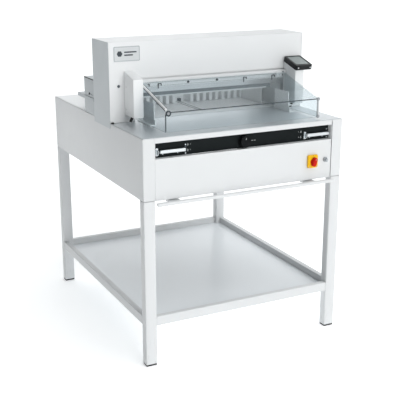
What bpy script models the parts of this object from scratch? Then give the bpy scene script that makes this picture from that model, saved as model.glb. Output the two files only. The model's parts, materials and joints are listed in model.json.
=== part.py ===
"""Electric guillotine paper cutter with a 650 mm cut, on a tubular stand with a shelf.

Metres, +Z up, +X to the operator's right. The operator stands at -Y. The origin is on the
floor under the middle of the machine. Every sub-part is one object, and each moving
sub-part has its origin, or its parent empty, on its joint's axis.
"""

import math

import bmesh
import bpy
from mathutils import Matrix, Vector

# Driving dimensions
GAP = 0.0003                      # air between pieces that touch
WIDTH = 0.936                     # table, left to right
DEPTH = 1.108                     # table, front to rear
HEIGHT = 1.304                    # floor to the top of the head
TABLE_TOP = 0.968
APRON_BOTTOM = 0.714
CUT_LENGTH = 0.650                # between the side lays
KNIFE_OPENING = 0.1105            # knife edge over the table at rest
CLAMP_OPENING = 0.0896            # clamp over the table at rest
GAUGE_REST = 0.267                # gauge face behind the knife edge at rest
GAUGE_NEAREST = 0.030             # narrowest strip that the gauge can hold behind the knife
GAUGE_FARTHEST = 0.610
MIDDLE = 0.010                    # X of the throat's centre line
THROAT = 0.733                    # clear width between the head's two columns

SHEET = 0.002                     # cover thickness
PLATE = 0.010                     # table plate thickness
FRONT = -DEPTH / 2
REAR = DEPTH / 2
SIDE = WIDTH / 2

# Head
HEAD_FRONT = -0.214
HEAD_REAR = -0.025
HEAD_SIDE = 0.470
HEAD_SHEET = 0.0015
LIP = 1.150                       # lower edge of the head's front cover over the throat
THROAT_LEFT = MIDDLE - THROAT / 2
THROAT_RIGHT = MIDDLE + THROAT / 2
FRAME_THICK = 0.020               # side frames
FRAME_LEFT = THROAT_LEFT - 0.0085
FRAME_RIGHT = THROAT_RIGHT + 0.0055
FRAME_FRONT = -0.176
FRAME_TOP = 1.285
FRAME_FOOT_REAR = 0.090
FRAME_FOOT_TOP = 1.100
CROSS_BOTTOM = 1.205

# Knife and clamp
EDGE_Y = -0.1717                  # cutting plane
BLADE_THICK = 0.012
CARRIER_THICK = 0.022
CARRIER_FRONT = EDGE_Y - BLADE_THICK - GAP - CARRIER_THICK
EDGE_Z = TABLE_TOP + KNIFE_OPENING
CARRIER_BOTTOM = EDGE_Z + 0.0265
CARRIER_TOP = CARRIER_BOTTOM + 0.120
CLAMP_FRONT = EDGE_Y + 0.0009
CLAMP_REAR = -0.112
CLAMP_BOTTOM = TABLE_TOP + CLAMP_OPENING
SPINDLE_Y = -0.135
FINGER_PITCH = 0.0335
FINGER_WIDTH = 0.016
COMB_GAPS = 9                     # gaps between fingers on each side of the spindle
COMB_LEFT = -0.0233               # middle of the first gap on each side, from MIDDLE
COMB_RIGHT = 0.0363
GAUGE_HALF = 0.3235
GAUGE_HEIGHT = 0.0757

# Back gauge drive
GAUGE_FACE = EDGE_Y + GAUGE_REST
FINGER_LENGTH = 0.045
GAUGE_BODY = 0.040
FOOT_Y = GAUGE_FACE + 0.067
SCREW_Z = 0.895
SCREW_RADIUS = 0.007
SLOT_WIDTH = 0.014
NUT_HALF = 0.018
NEAR_TRAVEL = GAUGE_REST - GAUGE_NEAREST
FAR_TRAVEL = GAUGE_FARTHEST - GAUGE_REST
BED_BOTTOM = 0.925
BEARING = 0.014
BEARING_NEAR = FOOT_Y - NEAR_TRAVEL - NUT_HALF - 0.0035
BEARING_FAR = FOOT_Y + FAR_TRAVEL + NUT_HALF + 0.0015

# Knife drive: the crank's throw is half the knife's stroke
STROKE = KNIFE_OPENING - 0.0005
THROW = STROKE / 2
LINK_Y = -0.195
CRANK_Z = 0.840
LINK_TOP_Z = 1.165
LINK_X = THROAT_LEFT - 0.091      # middle of the link's thickness
LINK_THICK = 0.014

# Front guard
HINGE_Y = -0.225
HINGE_Z = 1.136
GUARD_FRONT = -0.514
GUARD_EDGE_Z = 1.058
GUARD_BOTTOM = 0.975
GUARD_WALL = 0.004
GUARD_LEFT = MIDDLE - 0.361
GUARD_RIGHT = MIDDLE + 0.361
TUBE_RADIUS = 0.0095

# Control recess in the front
RECESS_LEFT = -0.4162
RECESS_RIGHT = 0.4127
RECESS_BOTTOM = 0.8830
RECESS_TOP = 0.9463
RECESS_DEPTH = 0.025
PANEL_Y = FRONT + RECESS_DEPTH    # face of the black panel

# Stand
LEG_WIDTH = 0.050
LEG_DEPTH = 0.040
FOOT_HEIGHT = 0.008
RAIL_BOTTOM = 0.178
RAIL_TOP = 0.218
RAIL_THICK = 0.025


def start():
    """Empty the file and make the two collections."""
    for old in list(bpy.data.objects):
        bpy.data.objects.remove(old, do_unlink=True)
    for old in list(bpy.data.collections):
        bpy.data.collections.remove(old)
    for name in ("paper_cutter", "cutters"):
        made = bpy.data.collections.new(name)
        bpy.context.scene.collection.children.link(made)


def material(name, colour, roughness, metallic=0.0):
    made = bpy.data.materials.new(name)
    made.use_nodes = True
    shader = made.node_tree.nodes["Principled BSDF"]
    shader.inputs["Base Color"].default_value = (*colour, 1.0)
    shader.inputs["Roughness"].default_value = roughness
    shader.inputs["Metallic"].default_value = metallic
    made.diffuse_color = (*colour, 1.0)
    return made


def put(name, mesh, place, paint=None):
    """A new object from a mesh, in the machine's collection."""
    made = bpy.data.objects.new(name, mesh)
    made.location = place
    if paint:
        mesh.materials.append(paint)
    bpy.data.collections["paper_cutter"].objects.link(made)
    return made


def bevel(part, width, segments=2, angle=30.0):
    step = part.modifiers.new("Bevel", "BEVEL")
    step.width = width
    step.segments = segments
    step.limit_method = "ANGLE"
    step.angle_limit = math.radians(angle)
    return part


def box(name, low, high, paint=None, rounded=0.0, segments=2):
    """A box between two corners, its edges rounded if asked."""
    low = Vector(low)
    high = Vector(high)
    mesh = bpy.data.meshes.new(name)
    shape = bmesh.new()
    bmesh.ops.create_cube(shape, size=1.0)
    bmesh.ops.scale(shape, vec=high - low, verts=shape.verts)
    shape.to_mesh(mesh)
    shape.free()
    made = put(name, mesh, (low + high) / 2, paint)
    if rounded:
        bevel(made, rounded, segments)
    return made


def rod(name, start_at, end_at, radius, paint=None, sides=24, rounded=0.0):
    """A round bar between two points, with its origin at the first."""
    start_at = Vector(start_at)
    along = Vector(end_at) - start_at
    mesh = bpy.data.meshes.new(name)
    shape = bmesh.new()
    turn = along.to_track_quat("Z", "Y").to_matrix().to_4x4()
    bmesh.ops.create_cone(
        shape, cap_ends=True, segments=sides, radius1=radius, radius2=radius,
        depth=along.length, matrix=Matrix.Translation(along / 2) @ turn)
    shape.to_mesh(mesh)
    shape.free()
    mesh.shade_smooth()
    mesh.set_sharp_from_angle(angle=math.radians(35))
    made = put(name, mesh, start_at, paint)
    if rounded:
        bevel(made, rounded, 1, 60)
    return made


TURNS = {
    "X": Matrix(((0, 0, 1), (1, 0, 0), (0, 1, 0))),     # outline in (Y, Z)
    "Y": Matrix(((1, 0, 0), (0, 0, -1), (0, 1, 0))),    # outline in (X, Z)
    "Z": Matrix.Identity(3),                            # outline in (X, Y)
}


def outline(name, points, axis, low, high, paint=None):
    """A flat outline given a thickness along one axis, from low to high."""
    curve = bpy.data.curves.new(name, "CURVE")
    curve.dimensions = "2D"
    curve.fill_mode = "BOTH"
    curve.extrude = (high - low) / 2
    spline = curve.splines.new("POLY")
    spline.points.add(len(points) - 1)
    for point, (u, v) in zip(spline.points, points):
        point.co = (u, v, 0, 1)
    spline.use_cyclic_u = True
    drawn = bpy.data.objects.new(name + "_outline", curve)
    bpy.data.collections["paper_cutter"].objects.link(drawn)
    drawn.matrix_world = TURNS[axis].to_4x4()
    bpy.context.view_layer.update()
    evaluated = drawn.evaluated_get(bpy.context.evaluated_depsgraph_get())
    mesh = bpy.data.meshes.new_from_object(evaluated)
    shape = bmesh.new()
    shape.from_mesh(mesh)
    bmesh.ops.remove_doubles(shape, verts=shape.verts, dist=0.00001)
    bmesh.ops.recalc_face_normals(shape, faces=shape.faces)
    bmesh.ops.dissolve_limit(shape, angle_limit=math.radians(1), verts=shape.verts,
                             edges=shape.edges)
    shape.to_mesh(mesh)
    shape.free()
    mesh.name = name
    mesh.materials.clear()
    made = put(name, mesh, (0, 0, 0), paint)
    made.matrix_world = drawn.matrix_world
    middle = (low + high) / 2
    made.location["XYZ".index(axis)] = middle
    bpy.data.objects.remove(drawn, do_unlink=True)
    return made


def shell(name, low, high, missing, wall, paint=None, rounded=0.0):
    """A box of sheet whose faces towards the missing directions are left out."""
    made = box(name, low, high, paint)
    shape = bmesh.new()
    shape.from_mesh(made.data)
    shape.normal_update()
    gone = [face for face in shape.faces
            if any(face.normal.dot(Vector(way)) > 0.9 for way in missing)]
    bmesh.ops.delete(shape, geom=gone, context="FACES")
    shape.to_mesh(made.data)
    shape.free()
    if rounded:
        bevel(made, rounded, 3)
    thicken(made, wall)
    return made


def thicken(part, wall, offset=-1.0):
    step = part.modifiers.new("Solidify", "SOLIDIFY")
    step.thickness = wall
    step.offset = offset
    step.use_even_offset = True
    return part


def as_cutter(part):
    """Hide a helper shape that only cuts or joins another."""
    part.hide_render = True
    part.display_type = "WIRE"
    for home in list(part.users_collection):
        home.objects.unlink(part)
    bpy.data.collections["cutters"].objects.link(part)
    return part


def boolean(part, other, operation):
    step = part.modifiers.new(operation.title(), "BOOLEAN")
    step.operation = operation
    step.solver = "EXACT"
    step.object = as_cutter(other)
    return part


def cut(part, *others):
    for other in others:
        boolean(part, other, "DIFFERENCE")
    return part


def fuse(part, *others):
    for other in others:
        boolean(part, other, "UNION")
    return part


def gather(name, pieces, paint=None):
    """One object from separate solids, each as its modifiers leave it."""
    bpy.context.view_layer.update()
    graph = bpy.context.evaluated_depsgraph_get()
    shape = bmesh.new()
    for piece in pieces:
        mesh = bpy.data.meshes.new_from_object(piece.evaluated_get(graph))
        mesh.transform(piece.matrix_world)
        shape.from_mesh(mesh)
    mesh = bpy.data.meshes.new(name)
    shape.to_mesh(mesh)
    shape.free()
    for piece in pieces:
        bpy.data.objects.remove(piece, do_unlink=True)
    return put(name, mesh, (0, 0, 0), paint)


def pivot(name, place, *parts):
    """An empty on a joint's axis, with the parts that turn or slide about it."""
    empty = bpy.data.objects.new(name, None)
    empty.location = place
    bpy.data.collections["paper_cutter"].objects.link(empty)
    bpy.context.view_layer.update()
    for part in parts:
        part.parent = empty
        part.matrix_parent_inverse = empty.matrix_world.inverted()
    return empty


def arc(centre, radius, first, last, steps):
    """Points on an arc, angles in degrees."""
    out = []
    for i in range(steps + 1):
        angle = math.radians(first + (last - first) * i / steps)
        out.append((centre[0] + radius * math.cos(angle),
                    centre[1] + radius * math.sin(angle)))
    return out


WHITE = (0.80, 0.82, 0.83)


def make_materials():
    return {
        "white": material("white_enamel", WHITE, 0.38),
        "shelf": material("shelf_enamel", (0.66, 0.70, 0.74), 0.35),
        "black": material("black_enamel", (0.018, 0.022, 0.023), 0.42),
        "steel": material("polished_steel", (0.56, 0.60, 0.62), 0.18, 1.0),
        "raw": material("machined_steel", (0.42, 0.44, 0.46), 0.35, 1.0),
        "cast": material("cast_iron", (0.16, 0.17, 0.18), 0.65, 0.6),
        "alloy": material("brushed_alloy", (0.70, 0.72, 0.73), 0.30, 1.0),
        "clear": material("clear_sheet", (0.85, 0.90, 0.92), 0.05),
        "plastic": material("black_plastic", (0.015, 0.017, 0.018), 0.45),
        "screen": material("display_glass", (0.40, 0.45, 0.43), 0.15),
        "yellow": material("yellow_plastic", (0.94, 0.56, 0.01), 0.38),
        "red": material("red_plastic", (0.62, 0.02, 0.01), 0.35),
        "stick": material("cutting_stick_plastic", (0.62, 0.65, 0.66), 0.55),
        "rubber": material("black_rubber", (0.02, 0.02, 0.02), 0.8),
        "motor": material("motor_paint", (0.10, 0.12, 0.14), 0.5),
        "frame": material("frame_enamel", (0.30, 0.33, 0.35), 0.45),
    }


def make_stand(paint):
    """Four square legs, their feet, the rails and the shelf between them."""
    inset = 0.0015
    for side, sx in (("left", -1), ("right", 1)):
        for end, sy in (("front", -1), ("rear", 1)):
            x = sorted((sx * SIDE, sx * (SIDE - LEG_WIDTH)))
            y = sorted((sy * REAR, sy * (REAR - LEG_DEPTH)))
            shell(f"leg_{end}_{side}", (x[0], y[0], FOOT_HEIGHT + GAP),
                  (x[1], y[1], APRON_BOTTOM - GAP), ((0, 0, 1), (0, 0, -1)),
                  0.003, paint["white"], 0.004)
            box(f"foot_{end}_{side}", (x[0] + inset, y[0] + inset, 0),
                (x[1] - inset, y[1] - inset, FOOT_HEIGHT), paint["rubber"], 0.0012, 1)

    outer_x = SIDE - 0.001
    outer_y = REAR - 0.001
    ledge = 0.075
    ledge_top = RAIL_BOTTOM + 0.007
    ledge_low = ledge_top - 0.003
    along_x = SIDE - LEG_WIDTH - GAP
    along_y = REAR - LEG_DEPTH - GAP
    strips = []
    for sign in (-1, 1):
        y = sorted((sign * outer_y, sign * (outer_y - RAIL_THICK)))
        x = sorted((sign * outer_x, sign * (outer_x - RAIL_THICK)))
        strips.append(box("long_rail", (-along_x, y[0], RAIL_BOTTOM),
                          (along_x, y[1], RAIL_TOP), None, 0.002, 1))
        strips.append(box("side_rail", (x[0], -along_y, RAIL_BOTTOM),
                          (x[1], along_y, RAIL_TOP), None, 0.002, 1))
        y = sorted((sign * (outer_y - 0.004), sign * (outer_y - ledge)))
        x = sorted((sign * (outer_x - 0.004), sign * (outer_x - ledge)))
        strips.append(box("long_ledge", (0.001 - along_x, y[0], ledge_low),
                          (along_x - 0.001, y[1], ledge_top)))
        strips.append(box("side_ledge", (x[0], 0.001 - along_y, ledge_low - 0.0004),
                          (x[1], along_y - 0.001, ledge_top - 0.0004)))
    frame = strips.pop(0)
    frame.name = "shelf_frame"
    frame.data.materials.append(paint["white"])
    fuse(frame, *strips)
    inner = RAIL_THICK + GAP
    outline("shelf_tray", notched(outer_x - inner, outer_y - inner, 0.001), "Z",
            ledge_top + GAP, ledge_top + 0.004, paint["shelf"])


def notched(half_x, half_y, air):
    """A rectangle about the origin whose corners step round the four legs."""
    leg_x = SIDE - LEG_WIDTH - air
    leg_y = REAR - LEG_DEPTH - air
    right = [(leg_x, -half_y), (leg_x, -leg_y), (half_x, -leg_y),
             (half_x, leg_y), (leg_x, leg_y), (leg_x, half_y)]
    return right + [(-x, y) for x, y in reversed(right)]


def make_body(paint):
    """The apron's covers, the table and the bed under it."""
    cover_top = TABLE_TOP - 0.0015
    for side, sx in (("left", -1), ("right", 1)):
        x = sorted((sx * SIDE, sx * (SIDE - LEG_WIDTH - 0.0015)))
        shell(f"side_cover_{side}", (x[0], FRONT, APRON_BOTTOM), (x[1], REAR, cover_top),
              ((0, 0, 1), (-sx, 0, 0)), SHEET, paint["white"], 0.005)
    panel_back = PANEL_Y - GAP
    under = TABLE_TOP - PLATE - GAP
    panel = shell("front_panel", (RECESS_LEFT, FRONT, APRON_BOTTOM),
                  (RECESS_RIGHT, panel_back, RECESS_BOTTOM),
                  ((1, 0, 0), (-1, 0, 0), (0, 1, 0)), SHEET, paint["white"])
    cut(panel, rod("lock_hole", (LOCK_X, FRONT - 0.01, LOCK_Z),
                   (LOCK_X, FRONT + 0.01, LOCK_Z), 0.0095))
    fuse(panel, box("panel_nose", (RECESS_LEFT, FRONT, RECESS_TOP),
                    (RECESS_RIGHT, panel_back, under)),
         box("panel_lip", (RECESS_LEFT, FRONT, RECESS_TOP + 0.003),
             (RECESS_RIGHT, FRONT + SHEET, cover_top)))
    for low, high in ((RECESS_LEFT, RECESS_LEFT + SHEET),
                      (RECESS_RIGHT - SHEET, RECESS_RIGHT)):
        fuse(panel, box("recess_end", (low, FRONT, RECESS_BOTTOM - 0.001),
                        (high, panel_back, RECESS_TOP + 0.005)))
    box("control_panel", (RECESS_LEFT, PANEL_Y, RECESS_BOTTOM),
        (RECESS_RIGHT, PANEL_Y + 0.003, RECESS_TOP), paint["black"])
    reach = SIDE - LEG_WIDTH - 0.0015 - GAP
    rear = box("rear_panel", (-reach, REAR - SHEET, APRON_BOTTOM), (reach, REAR, cover_top),
               paint["white"])
    for row in range(5):
        z = APRON_BOTTOM + 0.075 + 0.020 * row
        cut(rear, box("louvre", (0.10, REAR - 0.01, z), (0.30, REAR + 0.01, z + 0.007)))

    bed = box("machine_bed", (FRAME_LEFT + GAP, -0.262, BED_BOTTOM),
              (FRAME_RIGHT - GAP, -0.096, under), paint["cast"])
    for x in (-0.22, 0.22):
        fuse(bed, box("bed_rib", (x - 0.012, FRONT + RECESS_DEPTH + 0.012, BED_BOTTOM),
                      (x + 0.012, REAR - 0.010, under)))
    fuse(bed, box("bed_end", (-0.215, BEARING_FAR, BED_BOTTOM),
                  (0.215, BEARING_FAR + BEARING, under)))
    for low in (BEARING_NEAR - BEARING, BEARING_FAR):
        fuse(bed, box("bearing_block", (MIDDLE - 0.020, low, SCREW_Z - 0.020),
                      (MIDDLE + 0.020, low + BEARING, BED_BOTTOM + 0.005)))
        cut(bed, rod("bearing_bore", (MIDDLE, low - 0.01, SCREW_Z),
                     (MIDDLE, low + BEARING + 0.01, SCREW_Z), SCREW_RADIUS + 0.0005,
                     None, 16))

    edge = SIDE - SHEET - 0.0015
    front_edge = FRONT + SHEET + 0.0015
    left = THROAT_LEFT + 0.001
    right = THROAT_RIGHT - 0.002
    step_front = HEAD_FRONT - 0.0025
    front_end = EDGE_Y - BLADE_THICK + 0.0002
    ring = [(-edge, front_edge), (edge, front_edge), (edge, step_front),
            (right, step_front), (right, front_end), (left, front_end),
            (left, step_front), (-edge, step_front)]
    outline("front_table", ring, "Z", TABLE_TOP - PLATE, TABLE_TOP, paint["steel"])
    step_rear = FRAME_FOOT_REAR + 0.003
    back = REAR - SHEET - 0.0015
    rear_table = box("rear_table", (-edge, step_rear, TABLE_TOP - PLATE),
                     (edge, back, TABLE_TOP), paint["white"])
    fuse(rear_table, box("table_tongue", (left, EDGE_Y + 0.0017, TABLE_TOP - PLATE),
                         (right, step_rear + 0.05, TABLE_TOP)))
    cut(rear_table, box("gauge_slot",
                        (MIDDLE - SLOT_WIDTH / 2, FOOT_Y - NEAR_TRAVEL - 0.014, 0.94),
                        (MIDDLE + SLOT_WIDTH / 2, FOOT_Y + FAR_TRAVEL + 0.013, 1.0)))
    box("cutting_stick", (MIDDLE - 0.353, front_end + GAP, TABLE_TOP - PLATE),
        (MIDDLE + 0.353, EDGE_Y + 0.0017 - GAP, TABLE_TOP - GAP), paint["stick"])


def make_head(paint):
    """The portal over the table: side frames, cross head and sheet covers."""
    ring = [(FRAME_FRONT, APRON_BOTTOM + 0.008), (FRAME_FOOT_REAR, APRON_BOTTOM + 0.008),
            (FRAME_FOOT_REAR, FRAME_FOOT_TOP), (HEAD_REAR - 0.015, FRAME_FOOT_TOP),
            (HEAD_REAR - 0.015, FRAME_TOP), (FRAME_FRONT, FRAME_TOP)]
    for side, low in (("left", FRAME_LEFT - FRAME_THICK), ("right", FRAME_RIGHT)):
        outline(f"side_frame_{side}", ring, "X", low, low + FRAME_THICK, paint["frame"])

    web = 0.010
    y_front = -0.165
    y_rear = -0.060
    ring = [(y_front, CROSS_BOTTOM), (y_rear, CROSS_BOTTOM), (y_rear, FRAME_TOP),
            (y_rear - web, FRAME_TOP), (y_rear - web, CROSS_BOTTOM + web),
            (y_front + web, CROSS_BOTTOM + web), (y_front + web, FRAME_TOP),
            (y_front, FRAME_TOP)]
    cross = outline("cross_head", ring, "X", FRAME_LEFT + GAP, FRAME_RIGHT - GAP,
                    paint["cast"])
    cut(cross, rod("spindle_hole", (MIDDLE, SPINDLE_Y, CROSS_BOTTOM - 0.01),
                   (MIDDLE, SPINDLE_Y, CROSS_BOTTOM + 0.03), 0.009))

    inner = HEAD_SIDE - HEAD_SHEET - 0.0005
    base = TABLE_TOP + GAP
    cover = shell("head_front_cover", (-inner, HEAD_FRONT, base), (inner, HEAD_REAR, HEIGHT),
                  ((1, 0, 0), (-1, 0, 0), (0, 1, 0), (0, 0, -1)), HEAD_SHEET,
                  paint["white"], 0.004)
    cut(cover, box("throat", (THROAT_LEFT, HEAD_FRONT - 0.02, base - 0.02),
                   (THROAT_RIGHT, HEAD_FRONT + 0.02, LIP)))
    rear = box("head_rear_cover", (-inner, HEAD_REAR - HEAD_SHEET, base),
               (inner, HEAD_REAR, HEIGHT - HEAD_SHEET - GAP), paint["white"])
    cut(rear, box("rear_throat",
                  (FRAME_LEFT - FRAME_THICK - 0.006, HEAD_REAR - 0.02, base - 0.02),
                  (FRAME_RIGHT + FRAME_THICK + 0.006, HEAD_REAR + 0.02,
                   FRAME_FOOT_TOP + 0.008)))
    for side, sx in (("left", -1), ("right", 1)):
        x = sorted((sx * HEAD_SIDE, sx * (HEAD_SIDE - HEAD_SHEET)))
        box(f"head_end_cover_{side}", (x[0], HEAD_FRONT, TABLE_TOP - 0.022),
            (x[1], HEAD_REAR, HEIGHT), paint["white"], 0.0006, 1)

    corner_tops = 1.126
    corner_rear = 0.106
    outer = SIDE - 0.0015
    for side, low, high in (("left", -outer, THROAT_LEFT - 0.002),
                            ("right", THROAT_RIGHT + 0.001, outer)):
        corner = shell(f"rear_corner_cover_{side}", (low, HEAD_REAR + GAP, base),
                       (high, corner_rear, corner_tops), ((0, 0, -1), (0, -1, 0)),
                       SHEET, paint["white"], 0.003)
        fuse(corner, box("ledge", (low, corner_rear - 0.001, 1.027),
                         (high, corner_rear + 0.082, 1.043)))


CHEEK_WIDTH = 0.045
CHEEK_FRONT = -0.3115
CHEEK_BOTTOM = 1.000
DISPLAY_TILT = math.radians(16.1)
DISPLAY_SIZE = Vector((0.080, 0.104, 0.021))


def make_cheeks(paint):
    """The two hollow cheeks that carry the guard's hinge, with their sloping tops."""
    rear = HEAD_FRONT - 0.001
    for side, low, front_top, rear_top in (
            ("left", THROAT_LEFT - CHEEK_WIDTH, 1.159, 1.1826),
            ("right", THROAT_RIGHT, 1.1525, 1.1800)):
        cheek = box(f"cheek_cover_{side}", (low, CHEEK_FRONT, CHEEK_BOTTOM),
                    (low + CHEEK_WIDTH, rear, rear_top), paint["white"])
        shape = bmesh.new()
        shape.from_mesh(cheek.data)
        shape.normal_update()
        back = [face for face in shape.faces if face.normal.y > 0.9]
        bmesh.ops.delete(shape, geom=back, context="FACES")
        for vert in shape.verts:
            if vert.co.z > 0 and vert.co.y < 0:
                vert.co.z -= rear_top - front_top
        shape.to_mesh(cheek.data)
        shape.free()
        bevel(cheek, 0.003)
        thicken(cheek, SHEET)
        inside = low + CHEEK_WIDTH if side == "left" else low
        cut(cheek, rod("pin_hole", (inside - 0.01, HINGE_Y, HINGE_Z),
                       (inside + 0.01, HINGE_Y, HINGE_Z), 0.0047))


def make_display(paint):
    """The control display on top of the right cheek, tipped towards the operator."""
    centre = Vector((THROAT_RIGHT + DISPLAY_SIZE.x / 2 - 0.002, -0.2705, 1.1762))
    housing = box("display_housing", -DISPLAY_SIZE / 2, DISPLAY_SIZE / 2,
                  paint["plastic"], 0.003)
    window = Vector((0.054, 0.070, 0.004))
    shift = Vector((0.003, 0.008, DISPLAY_SIZE.z / 2))
    recess = box("display_recess", shift - window / 2, shift + window / 2)
    glass = Vector((window.x - 0.001, window.y - 0.001, 0.0012))
    low = Vector((shift.x, shift.y, shift.z - window.z / 2 + GAP + glass.z / 2))
    screen = box("display_screen", low - glass / 2, low + glass / 2, paint["screen"])
    tilt = Matrix.Translation(centre) @ Matrix.Rotation(DISPLAY_TILT, 4, "X")
    for part in (housing, recess, screen):
        part.matrix_world = tilt @ Matrix.Translation(part.location)
    cut(housing, recess)


def make_knife(paint):
    """The knife carrier, blade and bolts, and the crank drive that pulls them down."""
    carrier_rear = CARRIER_FRONT + CARRIER_THICK
    carrier = box("knife_carrier", (LINK_X + LINK_THICK / 2 + 0.002, CARRIER_FRONT,
                                    CARRIER_BOTTOM),
                  (FRAME_RIGHT + FRAME_THICK, carrier_rear, CARRIER_TOP), paint["alloy"],
                  0.002, 1)
    fuse(carrier, rod("link_pin", (LINK_X - LINK_THICK / 2 - 0.002, LINK_Y, LINK_TOP_Z),
                      (LINK_X + LINK_THICK, LINK_Y, LINK_TOP_Z), 0.0057))
    blade_front = EDGE_Y - BLADE_THICK
    ring = [(blade_front, EDGE_Z + 0.028), (EDGE_Y, EDGE_Z), (EDGE_Y, EDGE_Z + 0.112),
            (blade_front, EDGE_Z + 0.112)]
    blade = outline("knife_blade", ring, "X", MIDDLE - 0.352, MIDDLE + 0.352,
                    paint["steel"])
    pin_z = CRANK_Z + THROW
    eye = 0.015
    half = 0.009
    low_arc = arc((LINK_Y, pin_z), eye, 180 - 37, 360 + 37, 12)
    high_arc = arc((LINK_Y, LINK_TOP_Z), eye, -37, 180 + 37, 12)
    link = outline("knife_link", low_arc + high_arc, "X", LINK_X - LINK_THICK / 2,
                   LINK_X + LINK_THICK / 2, paint["raw"])
    for z in (pin_z, LINK_TOP_Z):
        cut(link, rod("eye_hole", (LINK_X - half - 0.01, LINK_Y, z),
                      (LINK_X + half + 0.01, LINK_Y, z), 0.0061))
    pivot("knife_axis", (MIDDLE, EDGE_Y, EDGE_Z), carrier, blade, link)

    face = LINK_X + LINK_THICK / 2 + 0.0025
    gearbox = FRAME_LEFT + 0.005
    crank = rod("crank_disc", (face, LINK_Y, CRANK_Z), (face + 0.018, LINK_Y, CRANK_Z),
                0.075, paint["raw"], 40)
    fuse(crank, rod("crank_shaft", (face + 0.010, LINK_Y, CRANK_Z),
                    (gearbox - GAP, LINK_Y, CRANK_Z), 0.014),
         rod("crank_pin", (face - 0.0018, LINK_Y, pin_z), (face + 0.010, LINK_Y, pin_z),
             0.0056))
    motor = box("knife_gearmotor", (gearbox, LINK_Y - 0.067, CRANK_Z - 0.068),
                (gearbox + 0.070, LINK_Y + 0.067, CRANK_Z + 0.068), paint["motor"], 0.006, 1)
    fuse(motor, rod("motor_can", (gearbox + 0.060, LINK_Y, CRANK_Z),
                    (gearbox + 0.260, LINK_Y, CRANK_Z), 0.055, None, 32))


def make_clamp(paint):
    """The combed clamp beam, its spindle and the motor in the cross head."""
    clamp = box("clamp_beam", (MIDDLE - 0.3235, CLAMP_FRONT, CLAMP_BOTTOM),
                (MIDDLE + 0.3235, CLAMP_REAR, CLAMP_BOTTOM + 0.097), paint["frame"])
    fuse(clamp, rod("nut_post", (MIDDLE, SPINDLE_Y, CLAMP_BOTTOM + 0.080),
                    (MIDDLE, SPINDLE_Y, CROSS_BOTTOM - 0.005), 0.018))
    slots = []
    play = 0.0025
    for side, row in zip((-1, 1), comb_gaps()):
        for k, sides in enumerate(row):
            near = sides[1] if side > 0 else sides[0]
            far = near + side * FINGER_WIDTH
            if k == COMB_GAPS - 1:
                far = MIDDLE + side * (GAUGE_HALF + 0.004)
            slots.append(box("slot", (min(near, far) - play, CLAMP_REAR - 0.038,
                                      CLAMP_BOTTOM - 0.01),
                             (max(near, far) + play, CLAMP_REAR + 0.01, CLAMP_BOTTOM + 0.080)))
    cut(clamp, gather("comb_slots", slots),
        rod("spindle_bore", (MIDDLE, SPINDLE_Y, CLAMP_BOTTOM + 0.018),
            (MIDDLE, SPINDLE_Y, CROSS_BOTTOM + 0.01), 0.0085))
    pivot("clamp_axis", (MIDDLE, SPINDLE_Y, CLAMP_BOTTOM), clamp)
    rod("clamp_spindle", (MIDDLE, SPINDLE_Y, CLAMP_BOTTOM + 0.024),
        (MIDDLE, SPINDLE_Y, CROSS_BOTTOM + 0.012), 0.008, paint["raw"])
    motor = box("clamp_motor", (MIDDLE - 0.040, SPINDLE_Y - 0.019, CROSS_BOTTOM + 0.0125),
                (MIDDLE + 0.040, SPINDLE_Y + 0.060, CROSS_BOTTOM + 0.060), paint["motor"],
                0.004, 1)
    fuse(motor, rod("clamp_motor_can", (MIDDLE + 0.035, SPINDLE_Y + 0.022, CROSS_BOTTOM + 0.037),
                    (MIDDLE + 0.160, SPINDLE_Y + 0.022, CROSS_BOTTOM + 0.037), 0.0235))


def comb_gaps():
    """The two sides of each gap in the gauge's comb, left row and right row, middle first."""
    half = (FINGER_PITCH - FINGER_WIDTH) / 2
    rows = []
    for side, first in ((-1, COMB_LEFT), (1, COMB_RIGHT)):
        centres = [MIDDLE + first + side * k * FINGER_PITCH for k in range(COMB_GAPS)]
        rows.append([(x - half, x + half) for x in centres])
    return rows


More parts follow.
